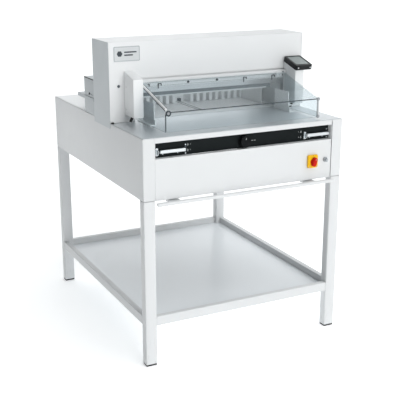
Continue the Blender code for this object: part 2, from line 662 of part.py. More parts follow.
def make_gauge(paint):
    """The back gauge with its fingers, foot and nut, and its screw, bearings and motor."""
    bottom = TABLE_TOP + 0.0013
    top = bottom + GAUGE_HEIGHT
    body_front = GAUGE_FACE + FINGER_LENGTH
    gauge = box("back_gauge", (MIDDLE - GAUGE_HALF, GAUGE_FACE, bottom),
                (MIDDLE + GAUGE_HALF, body_front + GAUGE_BODY, top), paint["alloy"])
    left, right = comb_gaps()
    middle_gap = (left[0][0], right[0][1])
    gaps = [box("gap", (low, GAUGE_FACE - 0.01, bottom - 0.01), (high, body_front, top + 0.01))
            for low, high in [middle_gap] + left[1:] + right[1:]]
    windows = [box("window", (low, GAUGE_FACE - 0.02, bottom - 0.02),
                   (high, body_front + GAUGE_BODY + 0.02, bottom + 0.037))
               for low, high in left + right]
    cut(gauge, gather("finger_gaps", gaps), gather("finger_windows", windows))
    fuse(gauge, box("gauge_foot", (MIDDLE - 0.005, FOOT_Y - 0.012, SCREW_Z + 0.015),
                    (MIDDLE + 0.005, FOOT_Y + 0.012, bottom + 0.010)),
         box("gauge_nut", (MIDDLE - 0.022, FOOT_Y - NUT_HALF, SCREW_Z - 0.022),
             (MIDDLE + 0.022, FOOT_Y + NUT_HALF, SCREW_Z + 0.022)))
    cut(gauge, rod("nut_bore", (MIDDLE, FOOT_Y - 0.03, SCREW_Z),
                   (MIDDLE, FOOT_Y + 0.03, SCREW_Z), SCREW_RADIUS + 0.0005))
    pivot("gauge_axis", (MIDDLE, GAUGE_FACE, TABLE_TOP), gauge)

    coupling_rear = BEARING_NEAR - BEARING - 0.002
    coupling_front = coupling_rear - 0.022
    screw = rod("gauge_spindle", (MIDDLE, coupling_rear - 0.001, SCREW_Z),
                (MIDDLE, BEARING_FAR + BEARING, SCREW_Z), SCREW_RADIUS, paint["steel"], 16)
    fuse(screw, rod("coupling", (MIDDLE, coupling_front, SCREW_Z),
                    (MIDDLE, coupling_rear, SCREW_Z), 0.013))
    rod("gauge_motor", (MIDDLE, coupling_front - 0.0005, SCREW_Z),
        (MIDDLE, coupling_front - 0.110, SCREW_Z), 0.0275, paint["motor"], 28, 0.002)


def make_lays(paint):
    """The side lays on the front and rear table, angle sections that stand upright."""
    base = TABLE_TOP + GAP
    wall = 0.003
    rear_top = base + GAUGE_HEIGHT + 0.001
    for side, sx in (("left", -1), ("right", 1)):
        face = MIDDLE + sx * CUT_LENGTH / 2
        ring = angle_section(face, sx, base, rear_top, wall, 0.034)
        outline(f"rear_lay_{side}", ring, "Y", -0.087, 0.500, paint["white"])
        ring = angle_section(face, sx, base, base + 0.090, wall, 0.028)
        lay = outline(f"front_lay_{side}", ring, "Y", -0.325, -0.2085, paint["white"])
        if side == "right":
            fuse(lay, box("lay_rib", (face + 0.001, -0.325, base + 0.028),
                          (face + 0.026, -0.2085, base + 0.031)))


def angle_section(face, sx, low, high, wall, flange):
    """The outline of an angle whose upright stands at face and whose foot points away."""
    return [(face, low), (face + sx * flange, low), (face + sx * flange, low + wall),
            (face + sx * wall, low + wall), (face + sx * wall, high), (face, high)]


def make_guard(paint):
    """The clear hood over the front table, hinged on a tube between the cheeks."""
    hood_rear = HINGE_Y - TUBE_RADIUS - 0.0022
    slope = (HINGE_Z - 0.003 - GUARD_EDGE_Z) / (hood_rear - GUARD_FRONT)
    hood = box("guard_hood", (GUARD_LEFT, GUARD_FRONT, GUARD_BOTTOM),
               (GUARD_RIGHT, hood_rear, HINGE_Z - 0.003), paint["clear"])
    shape = bmesh.new()
    shape.from_mesh(hood.data)
    shape.normal_update()
    gone = [face for face in shape.faces if face.normal.z < -0.9 or face.normal.y > 0.9]
    bmesh.ops.delete(shape, geom=gone, context="FACES")
    for vert in shape.verts:
        if vert.co.z > 0 and vert.co.y < 0:
            vert.co.z -= HINGE_Z - 0.003 - GUARD_EDGE_Z
    shape.to_mesh(hood.data)
    shape.free()
    bevel(hood, 0.006, 3)
    thicken(hood, GUARD_WALL)
    tube = rod("guard_tube", (THROAT_LEFT + 0.001, HINGE_Y, HINGE_Z),
               (THROAT_RIGHT - 0.001, HINGE_Y, HINGE_Z), TUBE_RADIUS, paint["white"], 24)
    fuse(tube, rod("hinge_pin", (THROAT_LEFT - 0.0015, HINGE_Y, HINGE_Z),
                   (THROAT_RIGHT + 0.0015, HINGE_Y, HINGE_Z), 0.004, None, 16))
    bar_x = GUARD_LEFT + 0.006
    lift = 0.0060
    low_y = GUARD_FRONT + 0.007
    high_y = hood_rear - 0.006
    bar = rod("guard_edge_bar",
              (bar_x, low_y, GUARD_EDGE_Z + slope * (low_y - GUARD_FRONT) + lift),
              (bar_x, high_y, GUARD_EDGE_Z + slope * (high_y - GUARD_FRONT) + lift), 0.0050,
              paint["alloy"], 12)
    pivot("guard_axis", (MIDDLE, HINGE_Y, HINGE_Z), hood, tube, bar)


SWITCH_X = 0.316
SWITCH_Z = 0.796
LOCK_X = 0.384
LOCK_Z = 0.796
WHEEL_X = -0.006
WHEEL_Z = 0.912
WHEEL_RADIUS = 0.0275
REACH = 0.0306                    # how far the bar and the inlet stand out of the covers
BAR_Z = 0.7042                    # middle of the press bar
BAR_PIVOT_Y = FRONT + 0.030


def make_controls(paint):
    """The hand wheel, cut bars, main switch, key switch, press bar and electrics."""
    wheel = rod("hand_wheel", (WHEEL_X, PANEL_Y - GAP, WHEEL_Z),
                (WHEEL_X, FRONT + 0.0025, WHEEL_Z), WHEEL_RADIUS, paint["plastic"], 40, 0.003)
    wheel.modifiers["Bevel"].segments = 2

    bar_length = 0.112
    bar_z = 0.9065
    for side, bar_left in (("left", -0.389), ("right", 0.2965)):
        bar = box(f"cut_bar_{side}", (bar_left, PANEL_Y - 0.0165, bar_z - 0.007),
                  (bar_left + bar_length, PANEL_Y - 0.0035, bar_z + 0.007),
                  paint["alloy"], 0.0025, 1)
        for share in (0.2, 0.8):
            x = bar_left + bar_length * share
            fuse(bar, rod("bar_pin", (x, PANEL_Y - 0.008, bar_z),
                          (x, PANEL_Y - 0.0005, bar_z), 0.003, None, 12))

    box("switch_base", (SWITCH_X - 0.0245, FRONT - 0.012, SWITCH_Z - 0.028),
        (SWITCH_X + 0.0245, FRONT - GAP, SWITCH_Z + 0.028), paint["yellow"], 0.003)
    knob = rod("switch_knob", (SWITCH_X, FRONT - 0.012 - GAP, SWITCH_Z),
               (SWITCH_X, FRONT - 0.020, SWITCH_Z), 0.018, paint["red"], 32)
    fuse(knob, box("knob_grip", (SWITCH_X - 0.006, FRONT - 0.030, SWITCH_Z - 0.017),
                   (SWITCH_X + 0.006, FRONT - 0.018, SWITCH_Z + 0.017)))

    barrel = rod("key_lock", (LOCK_X, FRONT + 0.012, LOCK_Z), (LOCK_X, FRONT - 0.004, LOCK_Z),
                 0.009, paint["steel"], 24)
    fuse(barrel, rod("lock_rim", (LOCK_X, FRONT - 0.0045, LOCK_Z),
                     (LOCK_X, FRONT - GAP, LOCK_Z), 0.011, None, 24))
    bow = rod("key", (LOCK_X - 0.001, FRONT - 0.014, LOCK_Z),
              (LOCK_X + 0.001, FRONT - 0.014, LOCK_Z), 0.009, paint["steel"], 20)
    fuse(bow, box("key_stem", (LOCK_X - 0.0009, FRONT - 0.010, LOCK_Z - 0.003),
                  (LOCK_X + 0.0009, FRONT - 0.0045 - GAP, LOCK_Z + 0.003)))

    bar = box("press_bar", (LEG_WIDTH - SIDE, FRONT - REACH, BAR_Z - 0.0065),
              (SIDE - LEG_WIDTH, FRONT - REACH + 0.016, BAR_Z + 0.0065), paint["white"],
              0.002, 1)
    for low, high in ((-0.357, -0.310), (0.283, 0.332)):
        fuse(bar, box("bar_arm", (low, FRONT - REACH + 0.014, BAR_Z - 0.004),
                      (high, BAR_PIVOT_Y, BAR_Z + 0.004)),
             rod("bar_pivot", (low, BAR_PIVOT_Y, BAR_Z), (high, BAR_PIVOT_Y, BAR_Z),
                 0.0065, None, 16))
    pivot("press_bar_axis", (0, BAR_PIVOT_Y, BAR_Z), bar)

    box("control_box", (0.10, -0.48, 0.745), (0.33, -0.28, 0.875), paint["motor"], 0.003, 1)
    box("mains_inlet", (-0.325, REAR + GAP, 0.765), (-0.275, REAR + REACH, 0.797),
        paint["plastic"], 0.002, 1)


def main():
    start()
    paint = make_materials()
    make_stand(paint)
    make_body(paint)
    make_head(paint)
    make_cheeks(paint)
    make_display(paint)
    make_knife(paint)
    make_clamp(paint)
    make_gauge(paint)
    make_lays(paint)
    make_guard(paint)
    make_controls(paint)


main()
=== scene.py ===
"""The looks of an electric guillotine paper cutter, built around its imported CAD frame.

The CAD nodes keep their shapes and get softened edges and node materials. Small parts that
need more shape than the frame holds are modelled here and replace their node, and the
fasteners, brackets and marks that have no node are added. Metres, +Z up, operator at -Y.
"""

import json
from math import cos, pi, radians, sin

import bmesh
import bpy
from mathutils import Matrix, Vector


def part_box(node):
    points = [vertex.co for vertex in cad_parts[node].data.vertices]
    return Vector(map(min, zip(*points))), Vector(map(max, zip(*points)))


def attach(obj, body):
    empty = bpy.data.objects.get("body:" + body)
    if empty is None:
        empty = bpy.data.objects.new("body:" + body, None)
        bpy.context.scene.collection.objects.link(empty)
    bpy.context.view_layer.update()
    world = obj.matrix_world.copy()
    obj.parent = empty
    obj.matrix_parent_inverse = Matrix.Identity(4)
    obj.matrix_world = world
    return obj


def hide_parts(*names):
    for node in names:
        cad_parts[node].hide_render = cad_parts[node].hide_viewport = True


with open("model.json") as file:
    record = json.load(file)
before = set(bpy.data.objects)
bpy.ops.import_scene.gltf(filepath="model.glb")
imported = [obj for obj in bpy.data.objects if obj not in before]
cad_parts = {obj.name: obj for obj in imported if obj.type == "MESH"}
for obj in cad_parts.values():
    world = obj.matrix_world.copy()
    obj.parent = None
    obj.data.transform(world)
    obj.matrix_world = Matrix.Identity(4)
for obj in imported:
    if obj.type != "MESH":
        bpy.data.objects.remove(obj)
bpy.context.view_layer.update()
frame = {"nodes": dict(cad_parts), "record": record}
NODES = frame["nodes"]


def put(name, data):
    """Add a camera, a light or a mesh to the scene."""
    made = bpy.data.objects.new(name, data)
    bpy.context.scene.collection.objects.link(made)
    return made


class Extent:
    """The sides of a CAD node's box, by name."""

    def __init__(self, node):
        low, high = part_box(node)
        self.left, self.front, self.bottom = low
        self.right, self.rear, self.top = high
        self.middle = (low + high) / 2


# ---- materials

class Wiring:
    """Adds and links the nodes of one node tree."""

    def __init__(self, tree, where):
        self.tree = tree
        self.where = self.add("ShaderNodeTexCoord").outputs[where]

    def add(self, kind, sockets=None, **settings):
        """Add a node, set its properties, and feed its sockets."""
        node = self.tree.nodes.new(kind)
        for name, value in settings.items():
            setattr(node, name, value)
        for name, value in (sockets or {}).items():
            self.feed(node.inputs[name], value)
        return node

    def feed(self, socket, value):
        """Link a socket to another node's output, or give it a plain value."""
        if isinstance(value, bpy.types.NodeSocket):
            self.tree.links.new(value, socket)
        else:
            socket.default_value = value

    def remap(self, source, *limits):
        """Map one range of values onto another: from low, from high, to low, to high."""
        sockets = dict(zip(("From Min", "From Max", "To Min", "To Max"), limits))
        return self.add("ShaderNodeMapRange", {"Value": source, **sockets}).outputs["Result"]

    def math(self, operation, first, second):
        node = self.add("ShaderNodeMath", {0: first, 1: second}, operation=operation)
        return node.outputs["Value"]

    def axis(self, name):
        return self.add("ShaderNodeSeparateXYZ", {"Vector": self.where}).outputs[name]

    def show(self, share, first, second, output):
        """Send a mix of two shaders to the surface."""
        mix = self.add("ShaderNodeMixShader", {0: share, 1: first, 2: second})
        self.feed(self.tree.nodes[output].inputs["Surface"], mix.outputs["Shader"])


class Paint(Wiring):
    """A node material being wired up around its Principled shader."""

    def __init__(self, colour, roughness, metallic=0.0):
        self.material = bpy.data.materials.new("finish")
        self.material.use_nodes = True
        super().__init__(self.material.node_tree, "Object")
        self.shader = self.tree.nodes["Principled BSDF"]
        self.colour = colour
        self.relief = None
        self.set("Base Color", (*colour, 1.0))
        self.set("Roughness", roughness)
        self.set("Metallic", metallic)

    def set(self, socket, value):
        self.feed(self.shader.inputs[socket], value)

    def noise(self, scale, detail=2.0, stretch=None):
        where = self.where
        if stretch:
            mapping = self.add("ShaderNodeMapping", {"Scale": stretch, "Vector": where})
            where = mapping.outputs["Vector"]
        sockets = {"Scale": scale, "Detail": detail, "Vector": where}
        return self.add("ShaderNodeTexNoise", sockets).outputs["Fac"]

    def cells(self, scale):
        sockets = {"Scale": scale, "Vector": self.where}
        return self.add("ShaderNodeTexVoronoi", sockets).outputs["Distance"]

    def edges(self, radius):
        """1 on the edges of the shape and 0 away from them."""
        bevel = self.add("ShaderNodeBevel", {"Radius": radius}, samples=4)
        flat = self.add("ShaderNodeNewGeometry")
        dot = self.add("ShaderNodeVectorMath",
                       {0: bevel.outputs["Normal"], 1: flat.outputs["Normal"]},
                       operation="DOT_PRODUCT")
        return self.remap(dot.outputs["Value"], 0.995, 0.86, 0.0, 1.0)

    def tint(self, share, colour):
        """Mix another colour over the base colour where share is high."""
        base = self.shader.inputs["Base Color"]
        under = base.links[0].from_socket if base.is_linked else (*self.colour, 1.0)
        mix = self.add("ShaderNodeMix", {0: share, 6: under, 7: (*colour, 1.0)},
                       data_type="RGBA")
        self.feed(base, mix.outputs[2])

    def mottle(self, pattern, start, end, share, tone):
        """Turn towards a tone of the paint's own colour where a pattern is high."""
        self.tint(self.remap(pattern, start, end, 0.0, share), shade(self.colour, tone))

    def rub(self, radius, share, colour):
        """Another colour on the edges, where they get rubbed."""
        self.tint(self.math("MULTIPLY", self.edges(radius), share), colour)

    def vary(self, pattern, low, high, start=0.3, end=0.7):
        """Let the roughness follow a pattern."""
        self.set("Roughness", self.remap(pattern, start, end, low, high))

    def bump(self, source, depth, strength):
        """Add a relief of this depth, in metres, on top of what is there."""
        sockets = {"Strength": strength, "Distance": depth, "Height": source}
        if self.relief:
            sockets["Normal"] = self.relief
        self.relief = self.add("ShaderNodeBump", sockets).outputs["Normal"]
        self.set("Normal", self.relief)


def shade(colour, factor):
    """The same colour, darker or lighter."""
    return tuple(min(1.0, part * factor) for part in colour)


def enamel(colour, roughness=0.36, wear=0.35, peel=0.4, gloss=0.45):
    """Powder coat: fine orange peel, slow changes of tone, edges rubbed by use."""
    paint = Paint(colour, roughness)
    paint.set("Specular IOR Level", gloss)
    paint.mottle(paint.noise(3.0, 3.0), 0.35, 0.7, 0.6, 0.965)
    paint.mottle(paint.noise(420.0), 0.55, 0.8, peel, 0.96)
    chips = paint.remap(paint.noise(60.0, 4.0), 0.45, 0.62, 0.0, wear)
    paint.rub(0.0012, chips, shade(colour, 0.62))
    low = paint.remap(paint.axis("Z"), 0.0, 0.16, 1.0, 0.0)
    scuff = paint.remap(paint.noise(90.0, 5.0, (1.0, 1.0, 0.25)), 0.56, 0.72, 0.0, 0.35)
    paint.tint(paint.math("MULTIPLY", low, scuff), shade(colour, 0.55))
    paint.vary(paint.noise(18.0), roughness - 0.03, roughness + 0.05)
    paint.bump(paint.noise(650.0), 0.00003, peel)
    return paint.material


def sheet(colour, roughness):
    """Smooth coated sheet metal: an even gloss, broken only by slow changes and rubbed edges."""
    paint = Paint(colour, roughness)
    paint.set("Coat Weight", 0.35)
    paint.set("Coat Roughness", 0.15)
    paint.mottle(paint.noise(1.4, 1.0), 0.3, 0.7, 0.5, 0.96)
    paint.rub(0.0012, 0.4, shade(colour, 0.7))
    return paint.material


def brushed(colour, roughness, along="X", scratch=0.25, metal=1.0):
    """Ground or brushed metal: long fine streaks, a few cross scratches, cloudy sheen."""
    fine, long = 900.0, 7.0
    stretch = {"X": (long, fine, fine), "Y": (fine, long, fine), "Z": (fine, fine, long)}
    across = {"X": (fine, 14.0, fine), "Y": (14.0, fine, fine), "Z": (fine, 14.0, fine)}
    paint = Paint(colour, roughness, metal)
    streaks = paint.noise(1.0, 3.0, stretch[along])
    paint.mottle(streaks, 0.35, 0.75, 0.55, 0.86)
    paint.mottle(paint.noise(5.0, 4.0), 0.4, 0.75, 0.45, 0.9)
    paint.rub(0.001, 0.6, shade(colour, 1.25))
    cross = paint.remap(paint.noise(1.0, 2.0, across[along]), 0.62, 0.72, 0.0, scratch)
    base = paint.remap(streaks, 0.3, 0.7, roughness - 0.05, roughness + 0.07)
    cloud = paint.remap(paint.noise(9.0, 3.0), 0.4, 0.7, 0.0, 0.06)
    scratches = paint.math("MULTIPLY", cross, 0.35)
    paint.set("Roughness", paint.math("ADD", paint.math("ADD", base, cloud), scratches))
    paint.bump(streaks, 0.00002, 0.35)
    return paint.material


def casting(colour, roughness=0.6):
    """Primed iron casting: sand-cast skin with darker hollows and bright rubbed edges."""
    paint = Paint(colour, roughness, 0.35)
    paint.mottle(paint.noise(14.0, 5.0), 0.4, 0.7, 0.6, 0.7)
    paint.rub(0.002, 0.55, (0.42, 0.42, 0.41))
    paint.vary(paint.noise(70.0, 4.0), roughness - 0.1, roughness + 0.12)
    paint.bump(paint.noise(240.0, 5.0), 0.0004, 0.5)
    return paint.material


def moulded(colour, roughness=0.42, grain=0.00006, gloss=0.5):
    """Moulded plastic: a fine spark-eroded grain, and edges painted lighter where fingers rub
    them, partly as wear and partly as a painted sheen.
    """
    paint = Paint(colour, roughness)
    paint.set("Specular IOR Level", gloss)
    lighter = tuple(min(1.0, part * 1.35 + 0.012) for part in colour)
    paint.mottle(paint.noise(30.0, 4.0), 0.45, 0.75, 0.35, 0.86)
    # Edges tinted lighter: partly wear, partly a painted sheen.
    paint.rub(0.001, 0.6, lighter)
    paint.vary(paint.noise(55.0, 3.0), roughness - 0.07, roughness + 0.08)
    paint.bump(paint.cells(1100.0), grain, 0.45)
    return paint.material


def rubbery(colour):
    """Soft black rubber with dust in its grain."""
    paint = Paint(colour, 0.8)
    paint.tint(paint.remap(paint.noise(120.0, 6.0), 0.5, 0.75, 0.0, 0.5), (0.1, 0.1, 0.1))
    paint.vary(paint.noise(40.0, 3.0), 0.68, 0.92)
    paint.bump(paint.noise(900.0, 3.0), 0.0001, 0.6)
    return paint.material


def clear_sheet():
    """Clear polycarbonate: see-through, glossy at a slant, darker along bends and rims."""
    paint = Paint((0.36, 0.385, 0.395), 0.05)
    paint.vary(paint.noise(7.0, 5.0, (1.0, 1.0, 2.2)), 0.03, 0.12, 0.35, 0.75)
    paint.bump(paint.noise(16.0), 0.0004, 0.15)
    see = paint.add("ShaderNodeBsdfTransparent", {"Color": (0.962, 0.985, 0.994, 1.0)})
    slant = paint.add("ShaderNodeLayerWeight", {"Blend": 0.5})
    gloss = paint.remap(paint.math("POWER", slant.outputs["Facing"], 4.0), 0.0, 1.0, 0.035, 0.65)
    rim = paint.math("MULTIPLY", paint.edges(0.0022), 0.5)
    share = paint.math("MINIMUM", paint.math("ADD", gloss, rim), 1.0)
    paint.show(share, see.outputs["BSDF"], paint.shader.outputs["BSDF"], "Material Output")
    return paint.material


def display_window():
    """A grey-green liquid crystal window under glass, slightly cloudy, with faint rows."""
    paint = Paint((0.2, 0.245, 0.24), 0.22)
    paint.set("Coat Weight", 0.35)
    paint.set("Coat Roughness", 0.06)
    rows = paint.noise(1.0, 0.0, (30.0, 2400.0, 2400.0))
    paint.tint(paint.remap(rows, 0.4, 0.6, 0.0, 0.12), (0.18, 0.22, 0.21))
    paint.tint(paint.remap(paint.noise(26.0), 0.3, 0.8, 0.0, 0.4), (0.27, 0.31, 0.3))
    paint.vary(paint.noise(60.0), 0.12, 0.2)
    return paint.material


def stick_plastic(colour):
    """The cutting stick: pale soft plastic scored along the knife line."""
    paint = Paint(colour, 0.5)
    score = paint.noise(1.0, 3.0, (4.0, 1600.0, 1600.0))
    paint.mottle(score, 0.5, 0.68, 0.7, 0.45)
    paint.vary(score, 0.42, 0.62)
    paint.bump(score, 0.0003, 0.6)
    return paint.material


# The finishes: those that carry a slot's name, and then a few that only this script needs.
PAINTS = {
    "white_enamel": enamel((0.73, 0.743, 0.75)),
    "shelf_enamel": sheet((0.86, 0.895, 0.92), 0.32),
    "black_panel": enamel((0.005, 0.008, 0.009), 0.6, 0.3, 0.3, 0.15),
    "polished_steel": brushed((0.66, 0.7, 0.72), 0.2),
    "machined_steel": brushed((0.42, 0.44, 0.46), 0.34, "Z"),
    "cast_iron": casting((0.17, 0.18, 0.19)),
    "brushed_alloy": brushed((0.74, 0.77, 0.79), 0.3),
    "clear_guard": clear_sheet(),
    "black_plastic": moulded((0.01, 0.012, 0.013), gloss=0.25),
    "display_glass": display_window(),
    "yellow_plastic": moulded((0.93, 0.54, 0.004), 0.38, gloss=0.3),
    "red_plastic": moulded((0.58, 0.01, 0.004), 0.5, gloss=0.15),
    "stick_plastic": stick_plastic((0.6, 0.64, 0.66)),
    "rubber": rubbery((0.022, 0.022, 0.022)),
    "motor_paint": enamel((0.1, 0.12, 0.14), 0.45, 0.8),
    # Dark grey enamel, darkened to paint in the shade on the clamp under the knife carrier; the
    # carrier's painted shade lines use it too.
    "frame_enamel": enamel((0.18, 0.205, 0.22), 0.42, 0.5),

    # Copies of the white enamel, lighter or darker for how light falls on each part: the head
    # front's and the cheeks' paint is lighter as painted light, the end covers' and the left
    # corner cover's paint darker as painted shade; the side frames share the end covers' grey.
    "white_with_painted_light": enamel((0.815, 0.825, 0.83), gloss=0.4),
    "white_with_more_painted_light": enamel((0.9, 0.915, 0.92), gloss=0.4),
    "grey_and_white_with_painted_shade": enamel((0.6, 0.64, 0.66), gloss=0.35),
    "white_with_painted_deep_shade": enamel((0.47, 0.51, 0.53), 0.34),
    "carrier": brushed((0.86, 0.87, 0.875), 0.42, metal=0.55),
    "table_steel": brushed((0.74, 0.77, 0.79), 0.33, "X", 0.15, 0.62),
    # Light alloy for the back gauge, near white and diffuse: partly its own colour, partly painted
    # light for the shaded throat.
    "gauge_alloy_and_painted_light": brushed((0.95, 0.965, 0.975), 0.45, "Z", metal=0.1),
    "blade_steel": brushed((0.74, 0.745, 0.75), 0.3, metal=0.7),
    "dark_steel": brushed((0.07, 0.08, 0.09), 0.35, "Z"),
    "plate_silver": enamel((0.64, 0.66, 0.67), 0.4, 0.2, 0.2),
    "plate_mark": moulded((0.035, 0.045, 0.055), 0.5, 0.00001),
    "wheel_black": moulded((0.004, 0.005, 0.006), 0.55, gloss=0.12),
    "dark_edge": moulded((0.035, 0.05, 0.06), 0.22),
    "print": moulded((0.62, 0.64, 0.64), 0.5, 0.00001),
    "brass": brushed((0.72, 0.55, 0.25), 0.25, "Y"),
}
for slot, material in PAINTS.items():
    material.name = f"{slot}_finish"


# ---- shapes

UP = Vector((0, 0, 1))
OUT_FRONT = Vector((0, -1, 0))
OUT_REAR = Vector((0, 1, 0))
OUT_LEFT = Vector((-1, 0, 0))
OUT_RIGHT = Vector((1, 0, 0))
SIDES = (("left", OUT_LEFT), ("right", OUT_RIGHT))
FOLD = radians(32)           # faces that meet at more than this angle have an edge


class Shape:
    """A mesh being gathered from simple solids, in the row frame."""

    def __init__(self):
        self.mesh = bmesh.new()

    def ring(self, points):
        return [self.mesh.verts.new(point) for point in points]

    def skin(self, rings, closed=False):
        """Join rings of equal length, and cap the ends unless they close on themselves."""
        pairs = list(zip(rings, rings[1:]))
        if closed:
            pairs.append((rings[-1], rings[0]))
        for lower, upper in pairs:
            count = len(lower)
            for i in range(count):
                j = (i + 1) % count
                self.mesh.faces.new((lower[i], lower[j], upper[j], upper[i]))
        if not closed:
            self.mesh.faces.new(list(reversed(rings[0])))
            self.mesh.faces.new(rings[-1])
        return self

    def box(self, low, high):
        (x0, y0, z0), (x1, y1, z1) = low, high
        flat = [(x0, y0), (x1, y0), (x1, y1), (x0, y1)]
        return self.skin([self.ring([(x, y, z) for x, y in flat]) for z in (z0, z1)])

    def turned(self, profile, base, direction, sides, closed=False, wobble=None):
        """Turn (radius, height) points about a line. wobble changes a ring's radius."""
        turn = Vector(direction).to_track_quat("Z", "Y").to_matrix()
        rings = []
        for index, (radius, height) in enumerate(profile):
            points = []
            for i in range(sides):
                angle = 2 * pi * i / sides
                reach = wobble(index, angle, radius) if wobble else radius
                local = Vector((reach * cos(angle), reach * sin(angle), height))
                points.append(Vector(base) + turn @ local)
            rings.append(self.ring(points))
        return self.skin(rings, closed)

    def rod(self, start, end, radius, sides, chamfer):
        """A round bar with chamfered ends."""
        span = Vector(end) - Vector(start)
        long = span.length
        profile = [(radius - chamfer, 0.0), (radius, chamfer), (radius, long - chamfer),
                   (radius - chamfer, long)]
        return self.turned(profile, start, span, sides)

    def plate(self, outline, plane, low, high):
        """Give a flat outline a thickness. plane is the axis that it faces along."""
        rings = [self.ring([lift(u, v, level, plane) for u, v in outline])
                 for level in (low, high)]
        return self.skin(rings)

    def window(self, outer, inner, plane, low, high):
        """A plate with a hole: two outlines with the same number of points."""
        loops = []
        for outline, level in ((outer, low), (outer, high), (inner, high), (inner, low)):
            loops.append(self.ring([lift(u, v, level, plane) for u, v in outline]))
        return self.skin(loops, closed=True)

    def pipe(self, points, radius, sides):
        """A round bar that follows a line of points."""
        points = [Vector(point) for point in points]
        rings = []
        side = None
        for i, point in enumerate(points):
            ahead = points[min(i + 1, len(points) - 1)] - points[max(i - 1, 0)]
            ahead.normalize()
            if side is None:
                side = ahead.orthogonal().normalized()
            side = (side - ahead * side.dot(ahead)).normalized()
            other = ahead.cross(side)
            rings.append(self.ring([
                point + radius * (cos(a) * side + sin(a) * other)
                for a in (2 * pi * k / sides for k in range(sides))]))
        return self.skin(rings)

    def screw(self, place, direction, radius, height):
        """A button-head screw with a hexagon socket."""
        socket = radius * 0.48
        floor = height * 0.35
        dome = [(radius, 0.0), (radius, height * 0.35), (radius * 0.86, height * 0.78),
                (radius * 0.62, height), (socket, height), (socket, floor),
                (socket * 0.05, floor * 0.8)]

        def hexagon(index, angle, reach):
            if index not in (4, 5):
                return reach
            part = (angle + pi / 6) % (pi / 3) - pi / 6
            return reach * cos(pi / 6) / cos(part)

        return self.turned(dome, place, direction, 24, wobble=hexagon)

    def slotted(self, place, direction, radius, height):
        """A pan-head screw with a pressed ring where its driver seats."""
        profile = [(radius, 0.0), (radius, height * 0.55), (radius * 0.9, height * 0.9),
                   (radius * 0.55, height), (radius * 0.42, height * 0.55),
                   (radius * 0.12, height * 0.45)]
        return self.turned(profile, place, direction, 28)

    def to_object(self, name, material):
        """Make the shape a smooth object of one material."""
        mesh = bpy.data.meshes.new(name)
        self.mesh.to_mesh(mesh)
        self.mesh.free()
        mesh.materials.append(material)
        mesh.shade_smooth()
        return put(name, mesh)

    def turn_by(self, matrix):
        bmesh.ops.transform(self.mesh, matrix=matrix, verts=self.mesh.verts)
        return self


def lift(u, v, level, plane):
    """A point of a flat outline in space, on the plane that faces along an axis."""
    return {"X": (level, u, v), "Y": (u, level, v), "Z": (u, v, level)}[plane]


def round_box(u0, v0, u1, v1, radius, steps=5):
    """The outline of a rectangle with round corners, counter-clockwise."""
    corners = [((u1 - radius, v0 + radius), -90), ((u1 - radius, v1 - radius), 0),
               ((u0 + radius, v1 - radius), 90), ((u0 + radius, v0 + radius), 180)]
    points = []
    for (cu, cv), first in corners:
        for step in range(steps + 1):
            angle = radians(first + 90 * step / steps)
            points.append((cu + radius * cos(angle), cv + radius * sin(angle)))
    return points


def round_tile(u, v, half_u, half_v, radius, steps=5):
    """The same outline, given by its middle and half its sizes."""
    return round_box(u - half_u, v - half_v, u + half_u, v + half_v, radius, steps)


def soften(made, width, segments=2):
    """Round the edges of a shape and keep its flat faces flat to the eye."""
    step = made.modifiers.new("Bevel", "BEVEL")
    step.width = width
    step.segments = segments
    step.limit_method = "ANGLE"
    step.angle_limit = FOLD
    step.harden_normals = True


def piece(name, shape, slot, finish=None, body="root", rounded=0.0, segments=2):
    """Close a shape, give it its own finish or that of its slot, and let it ride on its body."""
    bmesh.ops.recalc_face_normals(shape.mesh, faces=shape.mesh.faces)
    made = shape.to_object(name, PAINTS[finish or slot])
    if rounded:
        soften(made, rounded, segments)
    else:
        made.data.set_sharp_from_angle(angle=FOLD)
    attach(made, body)
    return made


def screws(name, places, way, radius, height, slot, body="root"):
    """One piece that has a button-head screw at each of the places."""
    heads = Shape()
    for place in places:
        heads.screw(place, way, radius, height)
    piece(name, heads, slot, body=body)


def spread(start, end, count):
    """Evenly spaced values from start to end."""
    return [start + (end - start) * i / (count - 1) for i in range(count)]


# ---- CAD nodes

# Nodes whose finish is not the plain one of their slot.
FINER = {
    "carrier": ("knife_carrier",),
    "blade_steel": ("knife_blade",),
    "gauge_alloy_and_painted_light": ("back_gauge",),
    "table_steel": ("front_table",),
    # Lighter and darker copies of the white: painted light on the head front, cheeks, lays, rear
    # table and guard edge bar; painted shade on the end covers and the left corner cover.
    "white_with_painted_light": ("head_front_cover",),
    "white_with_painted_deep_shade": ("rear_corner_cover_left",),
    "grey_and_white_with_painted_shade": ("head_end_cover_left", "head_end_cover_right", "side_frame_left",
                    "side_frame_right"),
    "white_with_more_painted_light": ("guard_edge_bar", "rear_table", "cheek_cover_left", "cheek_cover_right",
                     "front_lay_left", "front_lay_right", "rear_lay_left", "rear_lay_right"),
}
EDGES = {"clear_guard": 0.0004, "rubber": 0.0012, "cast_iron": 0.0015,
         "polished_steel": 0.0004, "brushed_alloy": 0.0005, "motor_paint": 0.002}
PLAIN_EDGE = 0.0007


def dress_nodes():
    """Every CAD node gets its finish, joined facets and softened edges."""
    finer = {node: finish for finish, nodes in FINER.items() for node in nodes}
    for row in frame["record"]["subparts"]:
        node = NODES[row["node"]]
        slot = row["material_slot"]
        for name in ("custom_normal", "sharp_edge", "sharp_face"):
            found = node.data.attributes.get(name)
            if found:
                node.data.attributes.remove(found)
        node.data.materials.clear()
        node.data.materials.append(PAINTS[finer.get(row["node"], slot)])
        weld = node.modifiers.new("Weld", "WELD")
        weld.merge_threshold = 0.00001
        flatten = node.modifiers.new("Flatten", "DECIMATE")
        flatten.decimate_type = "DISSOLVE"
        flatten.angle_limit = radians(0.5)
        soften(node, EDGES.get(slot, PLAIN_EDGE))


# ---- head

